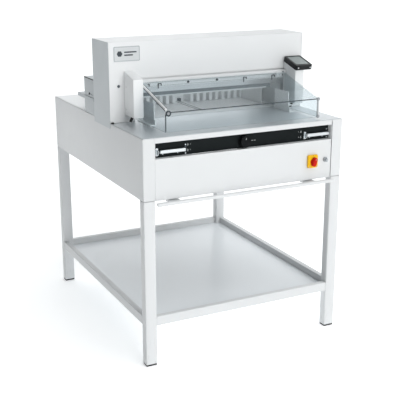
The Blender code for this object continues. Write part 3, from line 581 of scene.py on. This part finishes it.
def make_name_plate():
    """A plate with a rim and a generic pattern: a dark hexagon and two bars."""
    front = Extent("head_front_cover").front
    left, right, bottom, top = -0.4454, -0.3297, 1.2231, 1.2846
    rim = 0.0035
    ink = 0.0003
    outer = round_box(left, bottom, right, top, 0.004)
    inner = round_box(left + rim, bottom + rim, right - rim, top - rim, 0.002)
    face = front - 0.0012
    piece("name_plate", Shape().plate(outer, "Y", face, front), "brushed_alloy",
          "plate_silver", rounded=0.0003)
    piece("name_plate_rim", Shape().window(outer, inner, "Y", face - 0.0005, face),
          "machined_steel", rounded=0.0002)
    marks = Shape()
    middle_x, middle_z, radius = left + 0.026, 1.2545, 0.0125
    corners = [radians(60 * i) for i in range(6)]
    marks.plate([(middle_x + radius * cos(a), middle_z + radius * sin(a))
                 for a in corners], "Y", face - ink, face)
    start, half = left + 0.046, 0.0028
    for z, end in ((1.2605, right - 0.014), (1.2485, right - 0.03)):
        bar = round_box(start, z - half, end, z + half, 0.0024)
        marks.plate(bar, "Y", face - ink, face)
    piece("name_plate_pattern", marks, "black_plastic", "plate_mark")


def make_head():
    """The adjuster plug, the trims of the left corner and the screws of the rear cover."""
    front = Extent("head_front_cover").front
    plug = [(0.0062, 0.0), (0.0062, 0.0012), (0.0054, 0.0022), (0.0036, 0.0022),
            (0.0032, 0.0008), (0.0003, 0.0006)]
    piece("adjuster_plug", Shape().turned(plug, (-0.427, front, 1.1215), OUT_FRONT, 28),
          "black_plastic", "motor_paint")
    button = [(0.0068, 0.0), (0.0068, 0.003), (0.005, 0.0056), (0.0004, 0.0062)]
    button_at = (-0.461, front - 0.0085, Extent("front_table").top + 0.0003)
    piece("head_corner_button", Shape().turned(button, button_at, UP, 28), "rubber")

    corner = Extent("rear_corner_cover_left")
    edge = corner.left - 0.0033
    ledge = Shape().box((edge, corner.front + 0.004, 1.0285),
                        (corner.left, corner.rear, 1.043))
    ledge.box((edge, corner.front + 0.03, 1.053), (corner.left, corner.front + 0.04, 1.058))
    # The strip takes the darker copy of the white: painted shade.
    piece("corner_ledge_strip", ledge, "white_enamel", "white_with_painted_deep_shade", rounded=0.0006)
    y, z = 0.038, 1.057
    latch = Shape().rod((corner.left - 0.003, y, z), (corner.left + 0.001, y, z), 0.0052, 20,
                        0.001)
    piece("corner_cover_latch", latch, "black_plastic")
    seal = Shape().box((corner.left - 0.0017, corner.front + 0.002, corner.top - 0.0035),
                       (corner.left, corner.rear - 0.084, corner.top - 0.0003))
    piece("corner_cover_seal", seal, "rubber")

    rear = Extent("head_rear_cover")
    screws("head_rear_screws", [(x, rear.rear, z)
                                for x in spread(rear.left + 0.04, rear.right - 0.04, 6)
                                for z in (rear.top - 0.014, 1.126)],
           OUT_REAR, 0.0035, 0.0018, "polished_steel")


def make_cheeks():
    """The rubber stops under the cheeks, and the cheeks' screws."""
    for side, way in SIDES:
        cheek = Extent(f"cheek_cover_{side}")
        x, y = cheek.left + 0.008, cheek.front + 0.03
        stop = Shape().rod((x, y, cheek.bottom + 0.004), (x - 0.012, y, cheek.bottom - 0.018),
                           0.0058, 20, 0.001)
        piece(f"cheek_stop_{side}", stop, "rubber")
        outer = getattr(cheek, side)
        screws(f"cheek_screws_{side}", [(outer, cheek.rear - 0.02, cheek.bottom + z)
                                        for z in (0.025, 0.12)],
               way, 0.003, 0.0014, "white_enamel")


def make_display():
    """The display: a rounded housing with a sunk window and two pale caps in front."""
    half_x, half_y, half_z = 0.0425, 0.055, 0.01125
    place = Matrix.Translation(Extent("display_housing").middle)
    tilt = place @ Matrix.Rotation(radians(16.1), 4, "X")
    x, y = 0.002, 0.005
    window_x, window_y = 0.034, 0.044
    floor = half_z - 0.003
    seam, step = 0.0015, 0.0015
    outer = round_tile(0, 0, half_x, half_y, 0.007, 6)
    waist = round_tile(0, 0, half_x - step, half_y - step, 0.006, 6)
    inner = round_tile(x, y, window_x, window_y, 0.003, 6)
    pane = round_tile(x, y, window_x - 0.0003, window_y - 0.0003, 0.0028, 6)
    lower = Shape().plate(outer, "Z", -half_z, -seam).turn_by(tilt)
    shell = piece("display_case", lower, "black_plastic", rounded=0.0016, segments=3)
    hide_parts("display_housing")
    piece("display_seam", Shape().plate(waist, "Z", -seam, 0.0).turn_by(tilt), "black_plastic")
    upper = Shape().plate(outer, "Z", 0.0, floor).turn_by(tilt)
    piece("display_case_top", upper, "black_plastic", rounded=0.0004)
    bezel = Shape().window(outer, inner, "Z", floor, half_z).turn_by(tilt)
    piece("display_bezel", bezel, "black_plastic", rounded=0.0009, segments=3)
    glass = Shape().plate(pane, "Z", floor + 0.0001, floor + 0.0013).turn_by(tilt)
    screen = piece("display_window", glass, "display_glass")
    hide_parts("display_screen")
    caps = Shape()
    for cap_x in (-0.03, 0.032):
        caps.turned([(0.003, 0.0), (0.003, 0.0006), (0.0022, 0.0012), (0.0002, 0.0014)],
                    (cap_x, -half_y, -0.0005), OUT_FRONT, 20)
    piece("display_caps", caps.turn_by(tilt), "white_enamel")
    foot = Shape().box((-0.018, -0.012, -half_z - 0.006), (0.018, 0.03, -half_z + 0.0002))
    piece("display_foot", foot.turn_by(tilt), "black_plastic", rounded=0.0015)


# ---- knife and clamp

def make_knife():
    """Bolts, hooks, screws and painted shade lines on the knife carrier, and a painted highlight
    strip on the clamp.
    """
    carrier = Extent("knife_carrier")
    face = carrier.front
    bolt = [(0.0058, 0.0), (0.0058, 0.0008), (0.0048, 0.0008), (0.0048, 0.004),
            (0.004, 0.0046), (0.0026, 0.0046), (0.0026, 0.0018), (0.0002, 0.0016)]
    bolts = Shape()
    for x in (-0.345, -0.1027, 0.0378, 0.37):
        bolts.turned(bolt, (x, face, carrier.bottom + 0.013), OUT_FRONT, 24)
    piece("knife_bolts", bolts, "machined_steel", "dark_steel", body="knife")
    hooks = Shape()
    low, high = carrier.bottom - 0.006, carrier.bottom + 0.016
    for x in (-0.3, -0.2445, 0.1715, 0.318):
        outline = [(x - 0.002, low), (x + 0.0022, low), (x + 0.0022, high - 0.004),
                   (x + 0.012, high - 0.004), (x + 0.012, high - 0.011),
                   (x + 0.0155, high - 0.011), (x + 0.0155, high), (x - 0.002, high)]
        hooks.plate(outline, "Y", face - 0.004, face - 0.0002)
    piece("knife_hooks", hooks, "machined_steel", "dark_steel", body="knife", rounded=0.0006)
    screws("carrier_screws", [(x, face, carrier.top - 0.018) for x in spread(-0.3, 0.3, 9)],
           OUT_FRONT, 0.0048, 0.0028, "machined_steel", "knife")
    # Two thin dark strips across the carrier's face: painted shade lines, as of grooves in shadow.
    lines = Shape()
    for z in (carrier.bottom + 0.005, carrier.bottom + 0.0235):
        lines.box((carrier.left + 0.06, face - 0.0003, z),
                  (carrier.right - 0.026, face, z + 0.0011))
    piece("carrier_painted_shade_lines", lines, "machined_steel", "frame_enamel", body="knife")
    clamp = Extent("clamp_beam")
    # A white strip along the clamp's lower front edge: a painted highlight of that edge.
    strip = Shape().box((clamp.left + 0.002, clamp.front - 0.0004, clamp.bottom + 0.0002),
                        (clamp.right - 0.022, clamp.front + 0.0006, clamp.bottom + 0.0062))
    piece("clamp_painted_highlight_strip", strip, "white_enamel", body="clamp", rounded=0.0002)


def make_gauge():
    """The back gauge's centre block, and a row of screws along its top."""
    gauge = Extent("back_gauge")
    middle = gauge.middle.x
    screws("gauge_screws", [(middle + 0.031 * i, gauge.front + 0.062, gauge.top)
                            for i in range(-9, 10, 2)],
           UP, 0.0034, 0.0016, "machined_steel", "gauge")
    recess = gauge.front + 0.045
    block = Shape().box((middle - 0.004, recess - 0.014, gauge.bottom + 0.0985),
                        (middle + 0.011, recess + 0.0003, gauge.bottom + 0.112))
    piece("gauge_block", block, "black_plastic", "motor_paint", body="gauge", rounded=0.0008)


def make_lays():
    """The lining of the gauge's slot, screws of the rear lays, end pieces of the front lays."""
    top = Extent("rear_table").top
    middle = Extent("back_gauge").middle.x
    outer = round_box(middle - 0.0105, -0.091, middle + 0.0105, 0.5206, 0.003)
    hole = round_box(middle - 0.0069, -0.0886, middle + 0.0069, 0.5182, 0.0004)
    lining = Shape().window(outer, hole, "Z", top - 0.0004, top + 0.0005)
    piece("gauge_slot_lining", lining, "black_plastic", "dark_edge")
    long, short, thick = 0.026, 0.024, 0.004
    for side, inner, way in (("left", "right", -1), ("right", "left", 1)):
        lay = Extent(f"rear_lay_{side}")
        heads = Shape()
        for i in range(4):
            y = lay.front + (lay.rear - lay.front) * (i + 0.5) / 4
            heads.slotted((lay.middle.x + way * 0.004, y, lay.bottom + 0.003), UP, 0.0042, 0.002)
        piece(f"rear_lay_screws_{side}", heads, "polished_steel", "brushed_alloy")
        lay = Extent(f"front_lay_{side}")
        edge, floor = getattr(lay, inner), lay.bottom
        outline = [(edge, floor), (edge + way * long, floor),
                   (edge + way * long, floor + thick), (edge + way * thick, floor + thick),
                   (edge + way * thick, floor + short), (edge, floor + short)]
        tip = Shape().plate(outline, "Y", lay.front - 0.012, lay.front - 0.0002)
        # The tips take the lighter copy of the white: painted light.
        piece(f"front_lay_tip_{side}", tip, "white_enamel", "white_with_more_painted_light", rounded=0.0005)


# ---- guard

def make_guard_edges():
    """Edge strips, the post with its clips and the corner boss of the hood."""
    hood = Extent("guard_hood")
    front, left, right = hood.front, hood.left, hood.right
    fold = 1.058                  # height of the fold between the hood's front and its slope
    trim = Shape()
    trim.pipe([(left + 0.006, front - 0.0002, fold - 0.0035),
               (right - 0.006, front - 0.0002, fold - 0.0035)], 0.0022, 10)
    trim.pipe([(left + 0.0012, front + 0.0012, hood.bottom + 0.003),
               (left + 0.0012, front + 0.0012, fold - 0.01)], 0.0022, 10)
    piece("guard_edge_trim", trim, "black_plastic", "dark_edge", body="guard")

    outline = round_box(right - 0.0085, front - 0.002, right + 0.0005, front + 0.006,
                                0.0018)
    post = Shape().plate(outline, "Z", hood.bottom + 0.003, fold - 0.004)
    piece("guard_corner_post", post, "brushed_alloy", "plate_silver", body="guard",
          rounded=0.0006)
    clip = [(0.0072, 0.0), (0.0072, 0.003), (0.006, 0.0044), (0.003, 0.0046),
            (0.0008, 0.0034)]
    clips = Shape()
    for z in (hood.bottom + 0.005, fold - 0.003):
        clips.turned(clip, (right - 0.006, front - 0.0004, z), OUT_FRONT, 24)
    piece("guard_clips", clips, "machined_steel", body="guard")

    boss_at = Vector((left + 0.0115, front - 0.0012, fold - 0.0065))
    boss = [(0.0068, -0.003), (0.011, -0.003), (0.0116, 0.0), (0.0112, 0.0036),
            (0.0098, 0.005), (0.0078, 0.005), (0.0068, 0.0036)]
    piece("guard_corner_boss", Shape().turned(boss, boss_at, OUT_FRONT, 40, closed=True),
          "black_plastic", "dark_edge", body="guard")
    core = [(0.0062, -0.001), (0.0062, 0.0022), (0.0048, 0.0034), (0.0022, 0.0034),
            (0.0016, 0.002), (0.0003, 0.002)]
    piece("guard_boss_screw", Shape().turned(core, boss_at, OUT_FRONT, 32), "machined_steel",
          body="guard")
    bar = Extent("guard_edge_bar")
    seal = Shape()
    for x, up in ((bar.middle.x - 0.0058, -0.0034), (bar.middle.x + 0.0036, 0.004)):
        seal.pipe([(x, bar.front + 0.002, bar.bottom + 0.005 + up),
                   (x, bar.rear - 0.002, bar.top - 0.005 + up)], 0.0013, 8)
    piece("guard_edge_seal", seal, "black_plastic", "dark_edge", body="guard")


def make_guard_hinge():
    """Brackets, slot and screws on the tube that carries the hood."""
    hood = Extent("guard_hood")
    tube = Extent("guard_tube")
    wide = 0.03
    face = tube.front - 0.001
    brackets = Shape()
    for x in (hood.left + 0.016, hood.right - 0.016 - wide):
        brackets.box((x, face, tube.bottom - 0.012), (x + wide, tube.front + 0.0012,
                                                      tube.top - 0.004))
    piece("guard_hinge_brackets", brackets, "white_enamel", body="guard", rounded=0.0005)
    outline = round_tile(tube.right - 0.022, tube.middle.z, 0.008, 0.002, 0.0019)
    slot = Shape().plate(outline, "Y", tube.front - 0.0003, tube.front + 0.001)
    piece("guard_tube_slot", slot, "black_plastic", "motor_paint", body="guard")
    screws("guard_screws", [(x, face, tube.bottom - 0.004)
                            for x in (hood.left + 0.031, hood.right - 0.031)],
           OUT_FRONT, 0.003, 0.0014, "polished_steel", "guard")


# ---- controls

def make_wheel():
    """The jog wheel: a skirt, a fluted grip and a dished cap with a white index."""
    box = Extent("hand_wheel")
    x, z = box.middle.x, box.middle.z
    radius = (box.right - box.left) / 2
    tall = box.rear - box.front
    profile = [(radius, 0.0), (radius, 0.0022), (radius - 0.0016, 0.0034),
               (radius - 0.003, 0.005), (radius - 0.0022, 0.007),
               (radius - 0.0022, tall - 0.0034), (radius - 0.0034, tall - 0.0012),
               (radius - 0.0055, tall), (radius - 0.008, tall - 0.0003),
               (radius - 0.01, tall - 0.0014), (0.003, tall - 0.0018),
               (0.0004, tall - 0.0018)]

    def flutes(index, angle, reach):
        if index not in (4, 5):
            return reach
        return reach - 0.0007 * (1 + cos(36 * angle)) / 2

    wheel = Shape().turned(profile, (x, box.rear, z), OUT_FRONT, 216, wobble=flutes)
    made = piece("jog_wheel", wheel, "black_plastic", "wheel_black", body="wheel")
    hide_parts("hand_wheel")
    mark = round_box(x - 0.0008, z + 0.0075, x + 0.0008, z + 0.015, 0.0007)
    index = Shape().plate(mark, "Y", box.front + 0.0014, box.front + 0.0019)
    piece("jog_wheel_index", index, "white_enamel", "print", body="wheel")


def make_panel_marks():
    """Generic pictogram dots and strokes on the black panel, and its screws."""
    panel = Extent("control_panel")
    face = panel.front
    ink = 0.0003
    marks = Shape()

    def stroke(x, z, width, height):
        marks.box((x - width / 2, face - ink, z - height / 2),
                  (x + width / 2, face, z + height / 2))

    for x, way in ((-0.262, 1), (0.272, -1)):
        for z in (0.923, 0.9):
            stroke(x, z, 0.007, 0.0014)
            stroke(x, z - 0.0035, 0.004, 0.0014)
            stroke(x, z + 0.0035, 0.0014, 0.003)
            stroke(x + way * 0.0115, z + 0.001, 0.0016, 0.0028)
    wheel = Extent("hand_wheel")
    level = wheel.middle.z - 0.002
    stroke(wheel.right + 0.013, level, 0.011, 0.0012)
    for i in range(3):
        stroke(wheel.right + 0.022 + 0.0028 * i, level, 0.0012, 0.0026)
    marks.turned([(0.0013, 0.0), (0.0013, ink)], (wheel.right + 0.0045, face, level), OUT_FRONT,
                 16)
    piece("panel_marks", marks, "white_enamel", "print")
    screws("panel_screws", [(x, face, z)
                            for x in (panel.left + 0.01, panel.middle.x - 0.1,
                                      panel.middle.x + 0.1, panel.right - 0.01)
                            for z in (panel.bottom + 0.007, panel.top - 0.007)],
           OUT_FRONT, 0.0022, 0.001, "black_panel")


def make_cut_bars():
    """The brackets and straps that guide the two cut bars, and the pins on the bars."""
    face = Extent("control_panel").front
    for side, bracket_x, strap_x in (("left", -0.398, 0.0045), ("right", 0.2915, -0.006)):
        bar = Extent(f"cut_bar_{side}")
        low, high = bar.bottom, bar.top
        foot = round_box(bracket_x - 0.0055, low - 0.0095, bracket_x + 0.0055,
                                 high + 0.008, 0.0035)
        blade = round_box(bracket_x - 0.0012, low - 0.0035, bracket_x + 0.0012,
                                  high + 0.0015, 0.001)
        bracket = Shape().plate(foot, "Y", face - 0.0028, face)
        bracket.plate(blade, "Y", face - 0.018, face - 0.002)
        piece(f"cut_bar_bracket_{side}", bracket, "polished_steel", rounded=0.0005)
        heads = Shape()
        for z in (low - 0.005, high + 0.0035):
            heads.screw((bracket_x, face - 0.0028, z), OUT_FRONT, 0.0026, 0.0014)
        x = bar.right + strap_x
        for z in (low - 0.0105, high + 0.011):
            heads.screw((x, face - 0.001, z), OUT_FRONT, 0.003, 0.0014)
        outline = round_box(x - 0.0032, low - 0.0145, x + 0.0032, high + 0.015, 0.003)
        strap = Shape().plate(outline, "Y", face - 0.001, face)
        piece(f"cut_bar_strap_{side}", strap, "polished_steel", "dark_steel")
        piece(f"cut_bar_screws_{side}", heads, "polished_steel")
        pins = Shape()
        for share in (0.12, 0.7):
            x = bar.left + (bar.right - bar.left) * share
            pins.rod((x, bar.middle.y, low - 0.0042), (x, bar.middle.y, low + 0.001), 0.0024, 16,
                     0.0004)
        piece(f"cut_bar_pins_{side}", pins, "polished_steel", body=f"{side}_cut_bar")


def make_switch_plate():
    """The yellow plate of the main switch, with its collar, ticks and screws."""
    plate = Extent("switch_base")
    x, z = plate.middle.x, plate.middle.z
    corners = round_box(plate.left, plate.bottom, plate.right, plate.top, 0.006, 6)
    face = plate.front + 0.0004
    made = piece("main_switch_plate", Shape().plate(corners, "Y", face, plate.rear),
                 "yellow_plastic", rounded=0.0022, segments=3)
    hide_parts("switch_base")
    rim = [(0.0215, 0.0), (0.0215, 0.0006), (0.02, 0.0012), (0.0188, 0.0012), (0.0188, 0.0)]
    collar = Shape().turned(rim, (x, plate.front + 0.0006, z), OUT_FRONT, 48, closed=True)
    piece("main_switch_collar", collar, "yellow_plastic")
    ticks = Shape()
    long, short = 0.0018, 0.0008
    for middle_x, middle_z, half_x, half_z in ((x, z + 0.0245, short, long),
                                               (x + 0.0212, z, long, short)):
        ticks.box((middle_x - half_x, plate.front, middle_z - half_z),
                  (middle_x + half_x, plate.front + 0.0006, middle_z + half_z))
    piece("main_switch_ticks", ticks, "black_plastic")
    screws("main_switch_screws", [(x + dx, face, z - 0.022) for dx in (-0.0185, 0.0185)],
           OUT_FRONT, 0.0024, 0.0012, "machined_steel")


def make_switch_handle():
    """The red rotary handle: a disc, a leaning grip and its white pointer."""
    knob = Extent("switch_knob")
    x, z = knob.middle.x, knob.middle.z
    rear, front = knob.rear, knob.front
    radius = (knob.right - knob.left) / 2 - 0.0045
    disc = Shape().turned([(radius, 0.0), (radius, 0.0042), (radius - 0.0012, 0.0062),
                           (radius - 0.0045, 0.0074), (0.0004, 0.0078)],
                          (x, rear, z), OUT_FRONT, 56)
    made = piece("main_switch_knob", disc, "red_plastic", body="main_switch")
    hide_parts("switch_knob")
    lean = Matrix.Translation((x, 0, z)) @ Matrix.Rotation(radians(14), 4, "Y")
    lean = lean @ Matrix.Translation((-x, 0, -z))
    grip = Shape()
    rings = []
    for y, half, tall in ((rear - 0.003, 0.0104, 0.02), (rear - 0.01, 0.01, 0.0198),
                          (front + 0.0022, 0.0094, 0.0194), (front, 0.0074, 0.0176)):
        outline = round_tile(x, z, half, tall, half * 0.96, 6)
        rings.append(grip.ring([lift(u, v, y, "Y") for u, v in outline]))
    piece("main_switch_grip", grip.skin(rings).turn_by(lean), "red_plastic", body="main_switch")
    pointer = Shape().box((x - 0.0007, front - 0.0001, z + 0.008),
                          (x + 0.0007, front + 0.0006, z + 0.014)).turn_by(lean)
    piece("main_switch_pointer", pointer, "white_enamel", "print", body="main_switch")


def make_lock():
    """The key switch's turned rim, and the key with its pierced bow."""
    lock = Extent("key_lock")
    at = (lock.middle.x, lock.front + 0.0042, lock.middle.z)
    radius = (lock.right - lock.left) / 2
    rim = Shape().turned([(radius, 0.0), (radius, 0.0022), (radius - 0.0012, 0.0036),
                          (radius - 0.003, 0.004), (radius - 0.0034, 0.003),
                          (radius - 0.0046, 0.0028), (0.0004, 0.003)], at, OUT_FRONT, 48)
    made = piece("lock_rim", rim, "polished_steel", "machined_steel")
    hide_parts("key_lock")
    key = Extent("key")
    y, z = key.front + 0.009, key.middle.z
    wide = key.right - key.left
    bow = Shape().turned([(0.003, 0.0), (0.0086, 0.0), (0.009, 0.0003),
                          (0.009, wide - 0.0003), (0.0086, wide), (0.003, wide)],
                         (key.left, y, z), OUT_RIGHT, 36, closed=True)
    bow.box((key.left + 0.0002, y + 0.007, z - 0.003), (key.right - 0.0002, key.rear, z + 0.003))
    made = piece("key_with_bow", bow, "polished_steel", body="lock_key")
    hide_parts("key")


# ---- body

def make_body():
    """Screws of the side covers and the rear panel, and the mains inlet with its pins."""
    for side, way in SIDES:
        cover = Extent(f"side_cover_{side}")
        screws(f"side_cover_screws_{side}", [(getattr(cover, side), y, cover.bottom + z)
                                             for y in (cover.front + 0.02, cover.rear - 0.02)
                                             for z in (0.018, 0.12)],
               way, 0.0034, 0.0016, "white_enamel")
    panel = Extent("rear_panel")
    screws("rear_panel_screws", [(x, panel.rear, z)
                                 for x in spread(panel.left + 0.015, panel.right - 0.015, 5)
                                 for z in (panel.bottom + 0.012, panel.top - 0.012)],
           OUT_REAR, 0.0038, 0.002, "polished_steel")

    inlet = Extent("mains_inlet")
    x, z = inlet.middle.x, inlet.middle.z
    half_x, half_z = inlet.right - x, inlet.top - z
    flange = inlet.front + 0.004
    outer = round_tile(x, z, half_x, half_z, 0.003)
    body = round_tile(x, z, half_x - 0.004, half_z - 0.002, 0.004)
    hole = round_tile(x, z, half_x - 0.01, half_z - 0.006, 0.0045)
    socket = Shape().plate(outer, "Y", inlet.front, flange)
    socket.window(body, hole, "Y", flange, inlet.rear)
    made = piece("mains_socket", socket, "black_plastic", rounded=0.0007)
    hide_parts("mains_inlet")
    pins = Shape()
    for pin_x, pin_z in ((x - 0.007, z - 0.002), (x + 0.007, z - 0.002), (x, z + 0.003)):
        pins.box((pin_x - 0.001, flange, pin_z - 0.0025),
                 (pin_x + 0.001, inlet.rear - 0.01, pin_z + 0.0025))
    piece("mains_pins", pins, "polished_steel", "brass", rounded=0.0003)


def make_stand():
    """Weld beads where the rails meet the legs, and the shelf's rivets."""
    beads = Shape()
    rail = Extent("shelf_frame")
    for side, inner_x, sx in (("left", "right", -1), ("right", "left", 1)):
        for end, inner_y, sy in (("front", "rear", -1), ("rear", "front", 1)):
            leg = Extent(f"leg_{end}_{side}")
            for x, y in ((getattr(leg, inner_x) - sx * 0.0004, getattr(rail, end) - sy * 0.0006),
                         (getattr(rail, side) - sx * 0.0006, getattr(leg, inner_y) - sy * 0.0004)):
                levels = spread(rail.bottom + 0.002, rail.bottom + 0.038, 25)
                beads.pipe([(x, y, z) for z in levels], 0.0016, 8)
    piece("rail_welds", beads, "white_enamel")
    tray = Extent("shelf_tray")
    rim = 0.016
    rivets = Shape()
    for x, y in zip(spread(tray.left + 0.06, tray.right - 0.06, 5),
                    spread(tray.front + 0.06, tray.rear - 0.06, 5)):
        for place in ((x, tray.front + rim), (x, tray.rear - rim), (tray.left + rim, y),
                      (tray.right - rim, y)):
            rivets.slotted((*place, tray.top), UP, 0.004, 0.0014)
    piece("shelf_rivets", rivets, "shelf_enamel")


# ---- studio

CAMERA_TURN = radians(-26.68)
SKY_LEFT = 0.02                   # strength of the sky straight to the left
SKY_FRONT = 0.74                  # and from the front round to the right
SKY_RIGHT = 0.4                  # share of that which is left straight to the right
FLOOR_GLOW = 0.41


def make_camera():
    """A long lens to the left of the machine, a little above the table."""
    data = bpy.data.cameras.new("camera")
    data.lens = 76.885
    data.sensor_width = 36.0
    camera = put("camera", data)
    camera.location = (-1.7097, -3.5184, 1.6822)
    camera.rotation_euler = (radians(90 - 16.6), 0.0, CAMERA_TURN)
    bpy.context.scene.camera = camera


def area_light(name, place, target, size, power, colour=(1.0, 1.0, 1.0)):
    data = bpy.data.lights.new(name, "AREA")
    data.shape = "RECTANGLE"
    data.size, data.size_y = size
    data.energy = power
    data.color = colour
    light = put(name, data)
    light.location = place
    way = Vector(target) - Vector(place)
    light.rotation_euler = way.to_track_quat("-Z", "Y").to_euler()


def make_lights():
    """Soft boxes in front and behind, and an even light from above."""
    centre = (0.0, 0.0, 0.7)
    area_light("key_light", (0.6, -7.3, 2.6), centre, (4.0, 3.0), 112.0, (1.0, 0.985, 0.97))
    area_light("throat_light", (-0.6, -4.2, 1.35), (0.0, 0.0, 1.1), (1.8, 0.5), 11.0)
    area_light("rear_light", (0.6, 3.4, 3.6), (0.0, 0.3, 1.0), (3.0, 2.0), 22.0)
    data = bpy.data.lights.new("sky_light", "SUN")
    data.energy = 0.84
    data.angle = radians(50.0)
    sun = put("sky_light", data)
    sun.rotation_euler = Vector((0.35, -0.6, 1.0)).to_track_quat("Z", "Y").to_euler()


def make_sky():
    """A pale backdrop. The light from it fades to both sides."""
    world = bpy.data.worlds.new("studio")
    bpy.context.scene.world = world
    world.use_nodes = True
    wiring = Wiring(world.node_tree, "Generated")
    side = wiring.axis("X")
    left = wiring.remap(side, -0.6, 0.3, SKY_LEFT, SKY_FRONT)
    right = wiring.remap(side, 0.45, 0.95, 1.0, SKY_RIGHT)
    sky = wiring.add("ShaderNodeBackground", {"Color": (0.94, 0.98, 1.0, 1.0),
                                              "Strength": wiring.math("MULTIPLY", left, right)})
    seen = wiring.add("ShaderNodeBackground", {"Color": (0.97, 0.985, 1.0, 1.0)})
    to_camera = wiring.add("ShaderNodeLightPath").outputs["Is Camera Ray"]
    wiring.show(to_camera, sky.outputs["Background"], seen.outputs["Background"],
                "World Output")


def make_sweep():
    """A white floor that bends up behind the machine, turned to face the camera."""
    paint = Paint((0.92, 0.92, 0.92), 0.9)
    paint.material.name = "studio_floor"
    paint.set("Specular IOR Level", 0.1)
    paint.set("Emission Color", (0.97, 0.99, 1.0, 1.0))
    paint.set("Emission Strength", FLOOR_GLOW)
    size, start, bend, high = 12.0, 3.0, 2.0, 9.0
    profile = [(-size, 0.0), (start, 0.0)]
    for i in range(1, 13):
        angle = radians(90 * i / 12)
        profile.append((start + bend * sin(angle), bend * (1 - cos(angle))))
    profile.append((start + bend, high))
    sweep = Shape()
    lines = [sweep.ring([(x, y, z) for x in (-size, size)]) for y, z in profile]
    for near, far in zip(lines, lines[1:]):
        sweep.mesh.faces.new((near[0], near[1], far[1], far[0]))
    floor = sweep.to_object("studio_sweep", paint.material)
    floor.matrix_world = Matrix.Rotation(CAMERA_TURN, 4, "Z")


bpy.context.scene.view_settings.view_transform = "Standard"
for make in (dress_nodes, make_camera, make_name_plate, make_head, make_cheeks, make_display,
             make_knife, make_gauge, make_lays, make_guard_edges, make_guard_hinge, make_wheel,
             make_panel_marks, make_cut_bars, make_switch_plate, make_switch_handle, make_lock,
             make_body, make_stand, make_sky, make_sweep, make_lights):
    make()
